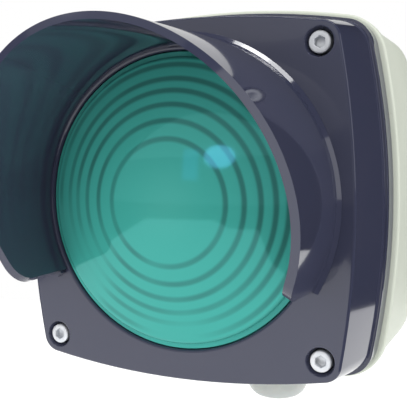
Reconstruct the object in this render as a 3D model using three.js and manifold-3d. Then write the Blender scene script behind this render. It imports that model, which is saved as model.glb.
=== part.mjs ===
// Single-aspect traffic signal head with a 125 mm green lens, for a wall or post.
// Millimetres, +Z up. The origin is the centre of the housing's flat back face, the front
// faces -Y. A "depth" below is measured backwards from the cover's front face.
import * as THREE from 'three';
import { mergeVertices } from 'three/addons/utils/BufferGeometryUtils.js';
import Module from 'manifold-3d';

const wasm = await Module();
wasm.setup();

// ---------------------------------------------------------------- driving dimensions
const bodyDepth = 100; // cover's front face to housing's back face
const gap = 0.3; // between pieces that touch

// front cover: a square with bowed sides, growing towards its back
const coverHalf = 73.5; // half width across the middle of the front face
const coverDraft = 4.7; // how far each side spreads down to the step
const coverStep = 1.2; // outward step of the rear lip
const coverLipDraft = 0.6; // further spread of the lip
const coverStepDepth = 30;
const coverDepth = 39;
const coverBow = 345; // radius of each bowed side, at the front face
const coverBackBow = 314; // and at the back edge
const coverCorner = 7.5; // corner radius on the front face
const coverCornerGrowth = 6.0; // extra corner radius at the back edge
const coverEdge = 0.8; // chamfer round the front face
const coverWall = 2.8;
const plateThickness = 3.2;

// rear housing
const housingOverhang = 2.4; // rim beyond the cover's back edge
const rimDepth = 6; // how deep the rim is, front to back
const rimLedge = 6.6; // the rim's width, outside to inside
const rimEdge = 1.0; // chamfer round the rim's front
const housingInset = 1.0; // body inside the rim
const housingWall = 3.0;
const housingBack = 3.5;
const housingBow = 318;
const housingCorner = 19.6;
const housingBackEdge = 2.0; // chamfer round the back face

// cover fixing
const screwEdge = 13.5; // cover screws' axes inside the cover's front edge
const screwRadius = 2.4;
const screwHeadRadius = 4.25;
const screwHeadHeight = 5;
const screwHexFlats = 4;
const screwHexDepth = 2.5;
const screwHeadSink = 0.4; // head top below the front face
const screwTipPast = 3.3; // the tip behind its insert
const screwTipRoom = 3; // blind hole behind the tip
const screwClearance = 0.5;
const counterboreClearance = 1.5; // round the head
const screwSealThickness = 1.0;
const screwSealOverlap = 0.6; // seal ring beyond the head
const coverBossWall = 1.45; // round the counterbore
const insertWall = 1.3;
const insertLength = 10;
const insertSink = 0.8;
const housingBossWall = 3.3; // round the insert

// lens and what holds it
const lensOpening = 62.5; // radius of the opening at the front face
const openingChamfer = 1.4;
const lensStepSink = 1.1; // flat step of the lens below the front face
const lensStepWidth = 2.2;
const lensShoulder = 3.0; // height of the dome's shoulder over the step
const lensShoulderRound = 2.4;
const domeRadius = 190;
const lensWall = 2.4;
const lensFlangeOverlap = 9.6; // flange beyond the opening's narrow edge
const lensFlangeThickness = 2.5;
const lensGasketThickness = 2.0;
const lensGasketWidth = 4.4;
const clampThickness = 2.5;
const clampOverlap = 9.0; // ring's width over the lens flange
const clampScrewRadius = 1.25;
const clampScrewHead = 2.8;
const clampScrewHeadHeight = 1.9;
const clampScrewAngle = 33; // degrees above and below the horizontal
const clampScrewReach = 4.6; // screw's axis outside the lens flange
const clampBossRadius = 3.4;
const ribInsets = [7.2, 12.9, 17.7, 23.3, 29.7, 37]; // stepped rings inside the opening
const ribHeight = 1.0;
const ribSlope = 0.4; // width of each step's steep side
const openingSides = 64; // facets round the opening and the visor

// visor
const visorWall = 2.5;
const visorTop = 67; // reach in front of the cover, at the top of the tube
const visorTilt = 20; // degrees, the rim's slope back towards the bottom
const visorLowEdge = 32.5; // bottom edges below the middle
const visorCornerRadius = 11;
const visorFootRadius = 3.5; // bead where the tube stands on the cover
const visorFootHollow = 0.35; // how far in the hollow of its foot's edge lies, as a share
const visorFootSink = 0.2; // the foot's edge ends this far inside the wall
const visorDraft = 2; // wall thicker at the cover than at the front edge
const visorTail = 1.5; // tube standing out behind the plate
const visorLug = 0.9; // snap lugs behind the plate
const visorLugAngles = [20, 65, 115, 160];
const visorLugWidth = 9;

// lamp and reflector
const reflectorInset = 5.5; // front edge inside the lens opening
const reflectorClearance = 1.3; // behind the clamp screws' heads
const reflectorWall = 1.0;
const reflectorNeck = 7; // neck in front of the holder
const reflectorCollar = 5; // collar over the holder
const holderWall = 3.5; // round the bulb's cap
const holderLength = 28.5;
const holderFloor = 4;
const capRadius = 7.5;
const capLength = 15;
const capWall = 1;
const capMouth = 5; // the glass's neck goes this far into the cap
const socketRoom = 2; // behind the cap
const contactRadius = 1.3;
const contactPitch = 7;
const bulbRadius = 12.5;
const bulbLength = 30;
const bulbNeckStart = 0.6; // the glass's neck in front of the cap
const bracketLength = 78;
const bracketWidth = 24;
const bracketThickness = 1.5;
const bracketHolePitch = 64;
const smallScrewRadius = 1.5;
const smallScrewHead = 2.9;
const smallScrewHeadHeight = 2.0;
const smallScrewLength = 7;
const postRadius = 4;
const postLength = 8.9;
const bracketHole = 4; // radius of the bracket's middle hole

// terminals
const terminalX = -8;
const terminalRise = 26.4; // block's middle above the rim's lowest edge
const terminalWidth = 36;
const terminalHeight = 18;
const terminalDeep = 12;
const terminalPoles = 3;
const terminalPitch = 9;
const terminalScrewRadius = 1.9;
const terminalWell = 5;
const terminalScrewSink = 1.2;
const terminalWay = 3; // square wire ways, top and bottom
const terminalFixSink = 5.7; // seat of the fixing screws' heads
const terminalFixRoom = 12; // fixing screws' pitch beyond the poles
const terminalFixBite = 1.2; // fixing screws' tips in the housing's back
const leadRadius = 1.1;
const leadInset = 8; // leads in front of the holder's back

// cable gland in the bottom wall
const glandX = 19;
const glandForward = 4.65; // axis in front of the middle of the housing's straight walls
const glandThreadRadius = 10;
const glandWall = 3.5; // the threaded tube's
const glandStandIn = 3; // the tube above the lock nut
const glandFlange = 3.2; // flange beyond the thread
const glandFlangeThickness = 3.4;
const glandSealThickness = 1.4;
const domeNutWall = 4.5; // nut's skirt round the thread
const domeNutLength = 12.1;
const domeNutSkirt = 4.1; // straight part of the nut
const domeNutCrown = 7.2; // how far the nut rounds in to its flat end
const domeNutMouth = 1.1; // nut's mouth inside the tube's bore
const domeNutFloor = 1.8; // wall round the mouth
const grommetHeight = 3.2;
const grommetSqueeze = 1.4; // grommet's bore inside the nut's mouth
const grommetRoom = 1.5; // round the grommet, inside the thread
const lockNutFlats = 27;
const lockNutThickness = 4.5;
const glandPadEdge = 1.4; // flat pad beyond the lock nut's corners
const glandSeatEdge = 1; // flat seat beyond the flange
const glandTubeChamfer = 1; // in the tube's lower mouth

// wall fixing holes
const wallHoleSide = 44.4; // holes inside the rim's left and right edges
const wallHoleEnd = 20.4; // and inside its top and bottom edges
const wallHoleRadius = 3.2;
const wallCollarRadius = 6;
const wallCollarHeight = 2.5;

// ---------------------------------------------------------------- materials
const finish = (color, roughness, metalness = 0) =>
  new THREE.MeshStandardMaterial({ color, roughness, metalness });
const blackPlastic = finish(0x2b2d38, 0.25);
const greyPlastic = finish(0xd2d7c8, 0.5);
const greyNylon = finish(0xc8cac6, 0.45);
const greenLens = finish(0x1f8d74, 0.12);
const sealRubber = finish(0x1a1a1b, 0.8);
const zinc = finish(0xc9ccd0, 0.3, 1);
const brass = finish(0xb89a52, 0.35, 1);
const mirrorMetal = finish(0xdadcdc, 0.12, 1);
const clearGlass = finish(0xe8efec, 0.05);
const cream = finish(0xe6e0cf, 0.4);
const blueLead = finish(0x2a5fa8, 0.5);
const brownLead = finish(0x6b4226, 0.5);

// ---------------------------------------------------------------- solids
// A closed three.js geometry as a solid for joining and cutting.
function solid(geometry) {
  const bare = geometry.index ? geometry.clone() : geometry;
  bare.deleteAttribute('normal');
  bare.deleteAttribute('uv');
  const merged = mergeVertices(bare, 1e-4);
  return new wasm.Manifold(
    new wasm.Mesh({
      numProp: 3,
      vertProperties: new Float32Array(merged.attributes.position.array),
      triVerts: new Uint32Array(merged.index.array),
    }),
  );
}

// A solid as a named mesh.
function piece(name, body, material) {
  const { vertProperties, triVerts } = body.getMesh();
  const geometry = new THREE.BufferGeometry();
  geometry.setAttribute('position', new THREE.BufferAttribute(vertProperties, 3));
  geometry.setIndex(new THREE.BufferAttribute(triVerts, 1));
  geometry.computeVertexNormals();
  const mesh = new THREE.Mesh(geometry, material);
  mesh.name = name;
  return mesh;
}

const depthToY = (depth) => depth - bodyDepth;
const radians = THREE.MathUtils.degToRad;

// Round bar along Y between two depths.
function bar(radius, fromDepth, toDepth, x = 0, z = 0, sides = radius < 3.2 ? 12 : 16) {
  const length = toDepth - fromDepth;
  const geometry = new THREE.CylinderGeometry(radius, radius, length, sides);
  geometry.translate(x, depthToY((fromDepth + toDepth) / 2), z);
  return solid(geometry);
}

// Round bar along Z.
function upright(radius, fromZ, toZ, x, y, sides = 24) {
  const geometry = new THREE.CylinderGeometry(radius, radius, toZ - fromZ, sides);
  geometry.rotateX(Math.PI / 2);
  geometry.translate(x, y, (fromZ + toZ) / 2);
  return solid(geometry);
}

function block(sizeX, sizeY, sizeZ, x, y, z) {
  const geometry = new THREE.BoxGeometry(sizeX, sizeY, sizeZ);
  geometry.translate(x, y, z);
  return solid(geometry);
}

// Ring or cup turned about Y from a profile of [radius, depth] pairs.
function turned(profile, sides = 40) {
  const points = profile.map(([radius, depth]) => new THREE.Vector2(radius, depthToY(depth)));
  const onAxis = points[0].x === 0 && points[points.length - 1].x === 0;
  if (!onAxis) points.push(points[0].clone());
  const rising = THREE.ShapeUtils.area(points) > 0;
  return solid(new THREE.LatheGeometry(rising ? points : points.reverse(), sides));
}

const ring = (inner, outer, fromDepth, toDepth, sides = 40) =>
  turned([[inner, fromDepth], [outer, fromDepth], [outer, toDepth], [inner, toDepth]], sides);

// Points of a square with bowed sides and round corners, in the XZ plane.
function bowedSquare(half, bow, corner) {
  const offset = bow - half;
  const centre = (Math.sqrt(2 * (bow - corner) ** 2 - offset ** 2) - offset) / 2;
  const meet = Math.atan2(centre, centre + offset);
  const points = [];
  const sideSteps = 4;
  const cornerSteps = 4;
  for (let quarter = 0; quarter < 4; quarter++) {
    const turn = (quarter * Math.PI) / 2;
    const place = (x, y) => points.push(new THREE.Vector2(x, y).rotateAround(new THREE.Vector2(), turn));
    for (let i = 0; i < sideSteps; i++) {
      const angle = meet * ((2 * i) / sideSteps - 1);
      place(bow * Math.cos(angle) - offset, bow * Math.sin(angle));
    }
    for (let i = 0; i < cornerSteps; i++) {
      const angle = meet + ((Math.PI / 2 - 2 * meet) * i) / cornerSteps;
      place(centre + corner * Math.cos(angle), centre + corner * Math.sin(angle));
    }
  }
  return points;
}

// Solid between two outlines of the same number of points, at two depths.
function drafted(front, fromDepth, back, toDepth) {
  const geometry = new THREE.ExtrudeGeometry(new THREE.Shape(front), {
    depth: toDepth - fromDepth,
    bevelEnabled: false,
  });
  geometry.rotateX(Math.PI / 2);
  geometry.translate(0, depthToY(toDepth), 0);
  const position = geometry.attributes.position;
  const middle = depthToY((fromDepth + toDepth) / 2);
  for (let i = 0; i < position.count; i++) {
    if (position.getY(i) < middle) continue;
    const x = position.getX(i);
    const z = position.getZ(i);
    const match = front.findIndex((point) => Math.hypot(point.x - x, point.y - z) < 1e-3);
    position.setX(i, back[match].x);
    position.setZ(i, back[match].y);
  }
  return solid(geometry);
}

const prism = (outline, fromDepth, toDepth) => drafted(outline, fromDepth, outline, toDepth);

// Outline of the cover at a depth, drawn in by inset.
function coverOutline(depth, inset = 0) {
  const lip = depth > coverStepDepth ? coverStep : 0;
  const draft = coverDraft * Math.min(depth / coverStepDepth, 1);
  const spread = Math.max(0, depth - coverStepDepth) / (coverDepth - coverStepDepth);
  const corner = coverCorner + (coverCornerGrowth * depth) / coverDepth;
  const bow = coverBow + ((coverBackBow - coverBow) * depth) / coverDepth;
  return bowedSquare(
    coverHalf + draft + lip + coverLipDraft * spread - inset,
    bow - inset,
    Math.max(corner - inset, 1.5),
  );
}

const coverBackHalf = coverHalf + coverDraft + coverStep + coverLipDraft;
const rimHalf = coverBackHalf + housingOverhang;
const housingOutline = (inset) =>
  bowedSquare(rimHalf - inset, housingBow - inset, Math.max(housingCorner - inset, 2));

// ---------------------------------------------------------------- places shared by pieces
const screwHalfPitch = coverHalf - screwEdge;
const wallHoleX = rimHalf - wallHoleSide;
const wallHoleZ = rimHalf - wallHoleEnd;
const counterboreRadius = screwHeadRadius + counterboreClearance;
const coverBossRadius = counterboreRadius + coverBossWall;
const insertRadius = screwRadius + insertWall;
const housingBossRadius = insertRadius + housingBossWall;
const screwSeatDepth = screwHeadSink + screwHeadHeight;
const counterboreDepth = screwSeatDepth + gap + screwSealThickness + gap;
const openingNarrow = lensOpening - openingChamfer;
const lensGasketDepth = plateThickness + gap;
const lensFlangeDepth = lensGasketDepth + lensGasketThickness + gap;
const lensFlangeRadius = openingNarrow + lensFlangeOverlap;
const clampDepth = lensFlangeDepth + lensFlangeThickness + gap;
const clampBack = clampDepth + clampThickness;
const clampScrewCircle = lensFlangeRadius + clampScrewReach;
const rimFrontDepth = coverDepth + gap;
const rimBackDepth = rimFrontDepth + rimDepth;
const insertFrontDepth = rimFrontDepth + insertSink;
const insertBackDepth = insertFrontDepth + insertLength;
const screwTipDepth = insertBackDepth + screwTipPast;
const housingFloorDepth = bodyDepth - housingBack;
const postFrontDepth = housingFloorDepth - postLength;
const bracketDepth = postFrontDepth - gap - bracketThickness;
const holderBackDepth = bracketDepth - gap;
const holderFrontDepth = holderBackDepth - holderLength;
const holderRadius = capRadius + holderWall;
const reflectorFrontDepth = clampBack + gap + clampScrewHeadHeight + reflectorClearance;
const reflectorBackDepth = holderFrontDepth - reflectorNeck;
const reflectorFrontRadius = lensOpening - reflectorInset;
const over = 1; // cutters run this far past the faces they open
const corners = [[1, 1], [-1, 1], [-1, -1], [1, -1]];
const clampAngles = [
  clampScrewAngle,
  180 - clampScrewAngle,
  180 + clampScrewAngle,
  360 - clampScrewAngle,
];
const clampPlaces = clampAngles.map((angle) => [
  clampScrewCircle * Math.cos(radians(angle)),
  clampScrewCircle * Math.sin(radians(angle)),
]);

// ---------------------------------------------------------------- visor
const visorInner = lensOpening;
const visorOuter = lensOpening + visorWall;

// Everything the visor's side view covers, as a block running right across.
function visorSide(lowEdge, front, back) {
  const slope = Math.tan(radians(visorTilt));
  const reach = (z) => front - (visorOuter - z) * slope;
  const tangent = visorCornerRadius * Math.tan((Math.PI / 2 - radians(visorTilt)) / 2);
  const cornerReach = reach(-lowEdge);
  const shape = new THREE.Shape();
  shape.moveTo(-back, -lowEdge);
  shape.lineTo(-back, visorOuter + 5);
  shape.lineTo(reach(visorOuter + 5), visorOuter + 5);
  const along = new THREE.Vector2(-slope, -1).normalize();
  shape.lineTo(cornerReach - along.x * tangent, -lowEdge - along.y * tangent);
  shape.quadraticCurveTo(cornerReach, -lowEdge, cornerReach - tangent, -lowEdge);
  const width = 2 * visorOuter + 20;
  const geometry = new THREE.ExtrudeGeometry(shape, {
    depth: width,
    bevelEnabled: false,
    curveSegments: 8,
  });
  geometry.rotateX(Math.PI / 2);
  geometry.rotateZ(-Math.PI / 2);
  geometry.translate(width / 2, -bodyDepth, 0);
  return solid(geometry);
}

function makeVisor() {
  const rootRadius = visorOuter + visorDraft;
  const footReach = visorFootRadius - visorDraft;
  const tube = turned(
    [
      [visorInner, -visorTop - over],
      [visorOuter, -visorTop - over],
      [visorOuter, -visorTop],
      [rootRadius, -gap],
      [visorOuter, -gap],
      [visorOuter, plateThickness + visorTail],
      [visorInner, plateThickness + visorTail],
    ],
    openingSides,
  );
  const foot = turned(
    [
      [visorOuter, -gap - visorFootSink],
      [visorOuter, -gap],
      [rootRadius + footReach, -gap],
      [rootRadius + footReach * visorFootHollow, -visorFootRadius * visorFootHollow],
      [rootRadius - visorFootSink, -visorFootRadius],
    ],
    openingSides,
  );
  let visor = tube.add(foot);
  for (const angle of visorLugAngles) {
    const lug = block(
      visorLug + 0.5,
      visorTail - gap,
      visorLugWidth,
      visorOuter + (visorLug - 0.5) / 2,
      depthToY(plateThickness + gap + (visorTail - gap) / 2),
      0,
    ).rotate([0, -angle, 0]);
    visor = visor.add(lug);
  }
  return visor.intersect(visorSide(visorLowEdge, visorTop, plateThickness + visorTail + over));
}

// ---------------------------------------------------------------- front cover
function makeCover() {
  const front = coverOutline(0, coverEdge);
  const edge = coverOutline(coverEdge);
  const step = coverOutline(coverStepDepth);
  const lip = coverOutline(coverStepDepth + 0.01);
  const outside = drafted(front, 0, edge, coverEdge)
    .add(drafted(edge, coverEdge, step, coverStepDepth))
    .add(drafted(lip, coverStepDepth, coverOutline(coverDepth), coverDepth));
  const inside = drafted(
    coverOutline(plateThickness, coverWall),
    plateThickness,
    coverOutline(coverStepDepth, coverWall),
    coverDepth + over,
  );
  let cover = outside.subtract(inside);
  for (const [x, z] of corners) {
    const place = [x * screwHalfPitch, z * screwHalfPitch];
    cover = cover.add(bar(coverBossRadius, plateThickness - over, coverDepth, ...place));
  }
  for (const place of clampPlaces) {
    cover = cover.add(bar(clampBossRadius, plateThickness - over, clampDepth - gap, ...place));
  }
  for (const [x, z] of corners) {
    const place = [x * screwHalfPitch, z * screwHalfPitch];
    cover = cover.subtract(bar(counterboreRadius, -over, counterboreDepth, ...place, 24));
    cover = cover.subtract(
      bar(screwRadius + screwClearance, counterboreDepth - over, coverDepth + over, ...place),
    );
  }
  for (const place of clampPlaces) {
    cover = cover.subtract(bar(clampScrewRadius + gap, plateThickness, clampDepth + over, ...place));
  }
  const opening = turned([
    [0, -over],
    [lensOpening, -over],
    [lensOpening, 0],
    [openingNarrow, openingChamfer],
    [openingNarrow, plateThickness + over],
    [0, plateThickness + over],
  ], openingSides);
  const seatRadius = visorOuter + gap;
  const seatBack = coverDepth;
  const seat = turned([[0, -over], [seatRadius, -over], [seatRadius, seatBack], [0, seatBack]], openingSides)
    .intersect(visorSide(visorLowEdge + gap, visorTop, seatBack + over));
  return cover.subtract(opening).subtract(seat);
}

// ---------------------------------------------------------------- lens and its fixing
function makeLens() {
  const stepOuter = openingNarrow - gap;
  const domeEdge = stepOuter - lensStepWidth;
  const stepDepth = lensStepSink;
  const shoulderDepth = stepDepth - lensShoulder;
  const domeAt = (radius, edge, edgeDepth, sphere) =>
    edgeDepth - (Math.sqrt(sphere ** 2 - radius ** 2) - Math.sqrt(sphere ** 2 - edge ** 2));
  const profile = [];
  const domeBase = domeEdge - lensShoulderRound;
  const domeSteps = 5;
  for (let i = 0; i <= domeSteps; i++) {
    const radius = (domeBase * i) / domeSteps;
    profile.push([radius, domeAt(radius, domeBase, shoulderDepth, domeRadius)]);
  }
  for (const part of [0.5, 1]) {
    const angle = (part * Math.PI) / 2;
    profile.push([
      domeBase + lensShoulderRound * Math.sin(angle),
      shoulderDepth + lensShoulderRound * (1 - Math.cos(angle)),
    ]);
  }
  profile.push([domeEdge, stepDepth], [stepOuter, stepDepth], [stepOuter, lensFlangeDepth]);
  profile.push([lensFlangeRadius, lensFlangeDepth]);
  profile.push([lensFlangeRadius, lensFlangeDepth + lensFlangeThickness]);
  const innerEdge = domeEdge - lensWall;
  profile.push([innerEdge, lensFlangeDepth + lensFlangeThickness]);
  const innerDepth = (radius) => domeAt(radius, domeBase, shoulderDepth, domeRadius) + lensWall;
  profile.push([innerEdge, innerDepth(innerEdge) + ribHeight]);
  for (const inset of ribInsets) {
    const radius = lensOpening - inset;
    profile.push([radius, innerDepth(radius) + ribHeight], [radius - ribSlope, innerDepth(radius)]);
  }
  profile.push([0, innerDepth(0)]);
  return turned(profile);
}

const makeLensGasket = () =>
  ring(
    lensFlangeRadius - lensGasketWidth,
    lensFlangeRadius,
    lensGasketDepth,
    lensGasketDepth + lensGasketThickness,
  );

function makeClampRing() {
  let clamp = ring(lensFlangeRadius - clampOverlap, lensFlangeRadius, clampDepth, clampBack);
  for (const angle of clampAngles) {
    const ear = block(
      clampScrewReach + 2,
      clampThickness,
      2 * clampBossRadius,
      clampScrewCircle - (clampScrewReach + 2) / 2,
      depthToY(clampDepth + clampThickness / 2),
      0,
    ).rotate([0, -angle, 0]);
    clamp = clamp.add(ear);
  }
  for (const place of clampPlaces) {
    clamp = clamp.add(bar(clampBossRadius, clampDepth, clampBack, ...place));
    clamp = clamp.subtract(bar(clampScrewRadius + gap, clampDepth - over, clampBack + over, ...place));
  }
  return clamp;
}

// Screw along Y whose point is at the lower depth and whose head stands on headDepth.
function rearScrew(radius, length, headRadius, headHeight, headDepth, x, z) {
  const shank = bar(radius, headDepth - length, headDepth + 0.5, x, z);
  const head = bar(headRadius, headDepth, headDepth + headHeight, x, z);
  const slot = block(headRadius * 1.1, headHeight, 0.9, x, depthToY(headDepth + headHeight), z);
  return shank.add(head).subtract(slot);
}

// Slotted screw whose head faces the front.
function frontScrew(radius, length, headRadius, headHeight, seatDepth, x, z) {
  const shank = bar(radius, seatDepth - 0.5, seatDepth + length, x, z);
  const head = bar(headRadius, seatDepth - headHeight, seatDepth, x, z);
  const slot = block(headRadius * 1.1, headHeight, 0.9, x, depthToY(seatDepth - headHeight), z);
  return shank.add(head).subtract(slot);
}

function makeCoverScrew(x, z) {
  const shank = bar(screwRadius, screwSeatDepth - 0.5, screwTipDepth, x, z);
  const head = bar(screwHeadRadius, screwHeadSink, screwSeatDepth, x, z, 24);
  const socketEnd = screwHeadSink + screwHexDepth;
  const socket = bar(screwHexFlats / Math.sqrt(3), screwHeadSink - over, socketEnd, x, z, 6);
  return shank.add(head).subtract(socket);
}

function makeScrewSeal(x, z) {
  const from = screwSeatDepth + gap;
  const to = from + screwSealThickness;
  const outer = bar(screwHeadRadius + screwSealOverlap, from, to, x, z);
  return outer.subtract(bar(screwRadius + gap, from - over, to + over, x, z));
}

function makeInsert(x, z) {
  const outer = bar(insertRadius, insertFrontDepth, insertBackDepth, x, z);
  return outer.subtract(bar(screwRadius + gap, insertFrontDepth - over, insertBackDepth + over, x, z));
}

// ---------------------------------------------------------------- rear housing
const gasketInset = housingOverhang + 0.5; // groove's outer edge inside the rim's edge
const gasketGroove = 2.0;
const gasketGrooveDepth = 1.6;

function makeHousing() {
  const rimOutline = housingOutline(0);
  const rim = drafted(housingOutline(rimEdge), rimFrontDepth, rimOutline, rimFrontDepth + rimEdge)
    .add(prism(rimOutline, rimFrontDepth + rimEdge, rimBackDepth));
  const bodyOutline = housingOutline(housingInset);
  const backOutline = housingOutline(housingInset + housingBackEdge);
  const backStart = bodyDepth - housingBackEdge;
  const body = prism(bodyOutline, rimBackDepth - over, backStart)
    .add(drafted(bodyOutline, backStart, backOutline, bodyDepth));
  const roomOutline = housingOutline(housingInset + housingWall);
  const grooveEnd = rimFrontDepth + gasketGrooveDepth;
  const groove = prism(housingOutline(gasketInset), rimFrontDepth - over, grooveEnd)
    .subtract(prism(housingOutline(gasketInset + gasketGroove), rimFrontDepth - 2 * over, grooveEnd + over));
  let housing = rim.add(body)
    .subtract(prism(housingOutline(rimLedge), rimFrontDepth - over, rimBackDepth))
    .subtract(prism(roomOutline, rimBackDepth - over, housingFloorDepth))
    .subtract(groove);
  for (const [x, z] of corners) {
    const place = [x * screwHalfPitch, z * screwHalfPitch];
    housing = housing.add(bar(housingBossRadius, rimFrontDepth, housingFloorDepth + over, ...place));
    housing = housing.add(bar(wallCollarRadius, housingFloorDepth - wallCollarHeight, bodyDepth - over,
      x * wallHoleX, z * wallHoleZ));
  }
  for (const side of [-1, 1]) {
    const x = (side * bracketHolePitch) / 2;
    housing = housing.add(bar(postRadius, postFrontDepth, housingFloorDepth + over, x, 0));
  }
  for (const [x, z] of corners) {
    const place = [x * screwHalfPitch, z * screwHalfPitch];
    const insertEnd = insertBackDepth + gap;
    housing = housing.subtract(bar(insertRadius + gap, rimFrontDepth - over, insertEnd, ...place));
    const shankEnd = screwTipDepth + screwTipRoom;
    housing = housing.subtract(bar(screwRadius + screwClearance, insertEnd - over, shankEnd, ...place));
    const collarFront = housingFloorDepth - wallCollarHeight;
    housing = housing.subtract(bar(wallHoleRadius, collarFront - over, bodyDepth + over,
      x * wallHoleX, z * wallHoleZ));
  }
  for (const side of [-1, 1]) {
    housing = housing.subtract(bar(smallScrewRadius + gap, postFrontDepth - over,
      postFrontDepth + smallScrewLength, (side * bracketHolePitch) / 2, 0));
  }
  for (const side of [-1, 1]) {
    housing = housing.subtract(bar(smallScrewRadius + gap, housingFloorDepth - over, terminalFixTip + gap,
      terminalX + (side * terminalFixPitch) / 2, terminalZ));
  }
  // flat seats on the bowed bottom wall, inside and out, for the gland's nut and seal
  return housing
    .add(upright(glandPadRadius, -rimHalf + housingInset + over, glandPadZ, glandX, glandY))
    .subtract(upright(glandFlangeRadius + glandSeatEdge, -rimHalf - over, glandSeatZ, glandX, glandY))
    .subtract(upright(glandThreadRadius + gap, glandSeatZ - over, glandPadZ + over, glandX, glandY));
}

function makeHousingGasket() {
  const from = rimFrontDepth + 0.1;
  const to = rimFrontDepth + gasketGrooveDepth - gap;
  const outer = housingOutline(gasketInset + gap);
  const inner = housingOutline(gasketInset + gasketGroove - gap);
  return drafted(outer, from, outer, to).subtract(drafted(inner, from - over, inner, to + over));
}

// ---------------------------------------------------------------- lamp
const reflectorBackRadius = holderRadius + gap;
const reflectorLean = reflectorWall * 0.3; // the bowl's outside set back from its inside

function makeReflector() {
  const steps = 6;
  const inside = [];
  const outside = [];
  const deep = reflectorBackDepth - reflectorFrontDepth;
  for (let i = 0; i <= steps; i++) {
    const radius = reflectorFrontRadius + ((reflectorBackRadius - reflectorFrontRadius) * i) / steps;
    const rise = radius ** 2 - reflectorBackRadius ** 2;
    const part = rise / (reflectorFrontRadius ** 2 - reflectorBackRadius ** 2);
    const depth = reflectorBackDepth - deep * part;
    inside.push([radius, depth]);
    outside.push([radius + reflectorWall, depth + reflectorLean]);
  }
  const collarEnd = holderFrontDepth + reflectorCollar;
  inside.push([reflectorBackRadius, collarEnd]);
  outside.push([reflectorBackRadius + reflectorWall, collarEnd]);
  return turned([...inside, ...outside.reverse()], 36);
}

function makeHolder() {
  const body = turned([
    [0, holderFrontDepth],
    [holderRadius, holderFrontDepth],
    [holderRadius, holderBackDepth],
    [0, holderBackDepth],
  ], 28);
  const socketEnd = holderFrontDepth + capLength + socketRoom;
  const socket = bar(capRadius + gap, holderFrontDepth - over, socketEnd, 0, 0, 28);
  let holder = body.subtract(socket);
  for (const side of [-1, 1]) {
    const x = (side * contactPitch) / 2;
    const wireWay = 2 * (leadRadius + gap);
    holder = holder
      .subtract(bar(contactRadius + gap, holderFrontDepth + capLength, contactBack + gap, x, 0))
      .subtract(block(wireWay, wireWay, holderRadius, x, depthToY(leadDepth), -holderRadius));
  }
  return holder;
}

const contactBack = holderBackDepth - holderFloor - gap;
const leadDepth = holderBackDepth - leadInset;

const makeContact = (side) =>
  bar(contactRadius, holderFrontDepth + capLength + gap, contactBack, (side * contactPitch) / 2);

function makeBulbCap() {
  const mouth = bar(capRadius - capWall, holderFrontDepth - over, holderFrontDepth + capMouth, 0, 0, 28);
  return bar(capRadius, holderFrontDepth, holderFrontDepth + capLength, 0, 0, 28).subtract(mouth);
}

function makeBulb() {
  const neck = capRadius - capWall - gap;
  const neckEnd = holderFrontDepth + capMouth - 0.5;
  const centre = neckEnd - bulbLength + bulbRadius;
  const profile = [[0, centre - bulbRadius]];
  const steps = 7;
  const last = Math.PI - Math.asin(neck / bulbRadius) - 0.25;
  for (let i = 1; i <= steps; i++) {
    const angle = (last * i) / steps;
    profile.push([bulbRadius * Math.sin(angle), centre - bulbRadius * Math.cos(angle)]);
  }
  profile.push([neck, holderFrontDepth - bulbNeckStart], [neck, neckEnd], [0, neckEnd]);
  return turned(profile, 24);
}

function makeBracket() {
  const y = depthToY(bracketDepth + bracketThickness / 2);
  let bracket = block(bracketLength, bracketThickness, bracketWidth, 0, y, 0);
  for (const side of [-1, 1]) {
    bracket = bracket.subtract(bar(smallScrewRadius + gap, bracketDepth - over, postFrontDepth + over,
      (side * bracketHolePitch) / 2, 0));
  }
  return bracket.subtract(bar(bracketHole, bracketDepth - over, postFrontDepth + over, 0, 0, 20));
}

// ---------------------------------------------------------------- terminals and leads
const terminalZ = terminalRise - rimHalf;
const terminalFixPitch = (terminalPoles - 1) * terminalPitch + terminalFixRoom;
const terminalBack = housingFloorDepth - gap;
const terminalFront = terminalBack - terminalDeep;
const terminalFixDepth = terminalFront + terminalFixSink;
const terminalFixTip = terminalBack + terminalFixBite;
const terminalWayDepth = terminalFront + terminalWell + 2;
const poleX = (pole) => terminalX + (pole - (terminalPoles - 1) / 2) * terminalPitch;

function makeTerminalBlock() {
  const y = depthToY(terminalBack - terminalDeep / 2);
  let terminals = block(terminalWidth, terminalDeep, terminalHeight, terminalX, y, terminalZ);
  for (let pole = 0; pole < terminalPoles; pole++) {
    terminals = terminals.subtract(bar(terminalScrewRadius + gap, terminalFront - over,
      terminalFront + terminalWell, poleX(pole), terminalZ));
    for (const side of [-1, 1]) {
      terminals = terminals.subtract(block(terminalWay, terminalWay, terminalHeight / 2, poleX(pole),
        depthToY(terminalWayDepth), terminalZ + (side * terminalHeight) / 2));
    }
  }
  for (const side of [-1, 1]) {
    const x = terminalX + (side * terminalFixPitch) / 2;
    terminals = terminals
      .subtract(bar(smallScrewRadius + gap, terminalFront - over, terminalBack + over, x, terminalZ))
      .subtract(bar(smallScrewHead + gap, terminalFront - over, terminalFixDepth + gap, x, terminalZ, 20));
  }
  return terminals;
}

const makeTerminalScrew = (pole) => {
  const from = terminalFront + terminalScrewSink;
  const to = terminalFront + terminalWell - gap;
  const body = bar(terminalScrewRadius, from, to, poleX(pole), terminalZ, 16);
  return body.subtract(block(4, 1, 0.8, poleX(pole), depthToY(from), terminalZ));
};

const makeTerminalFixing = (side) =>
  frontScrew(smallScrewRadius, terminalFixTip - terminalFixDepth, smallScrewHead, smallScrewHeadHeight,
    terminalFixDepth, terminalX + (side * terminalFixPitch) / 2, terminalZ);

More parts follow.
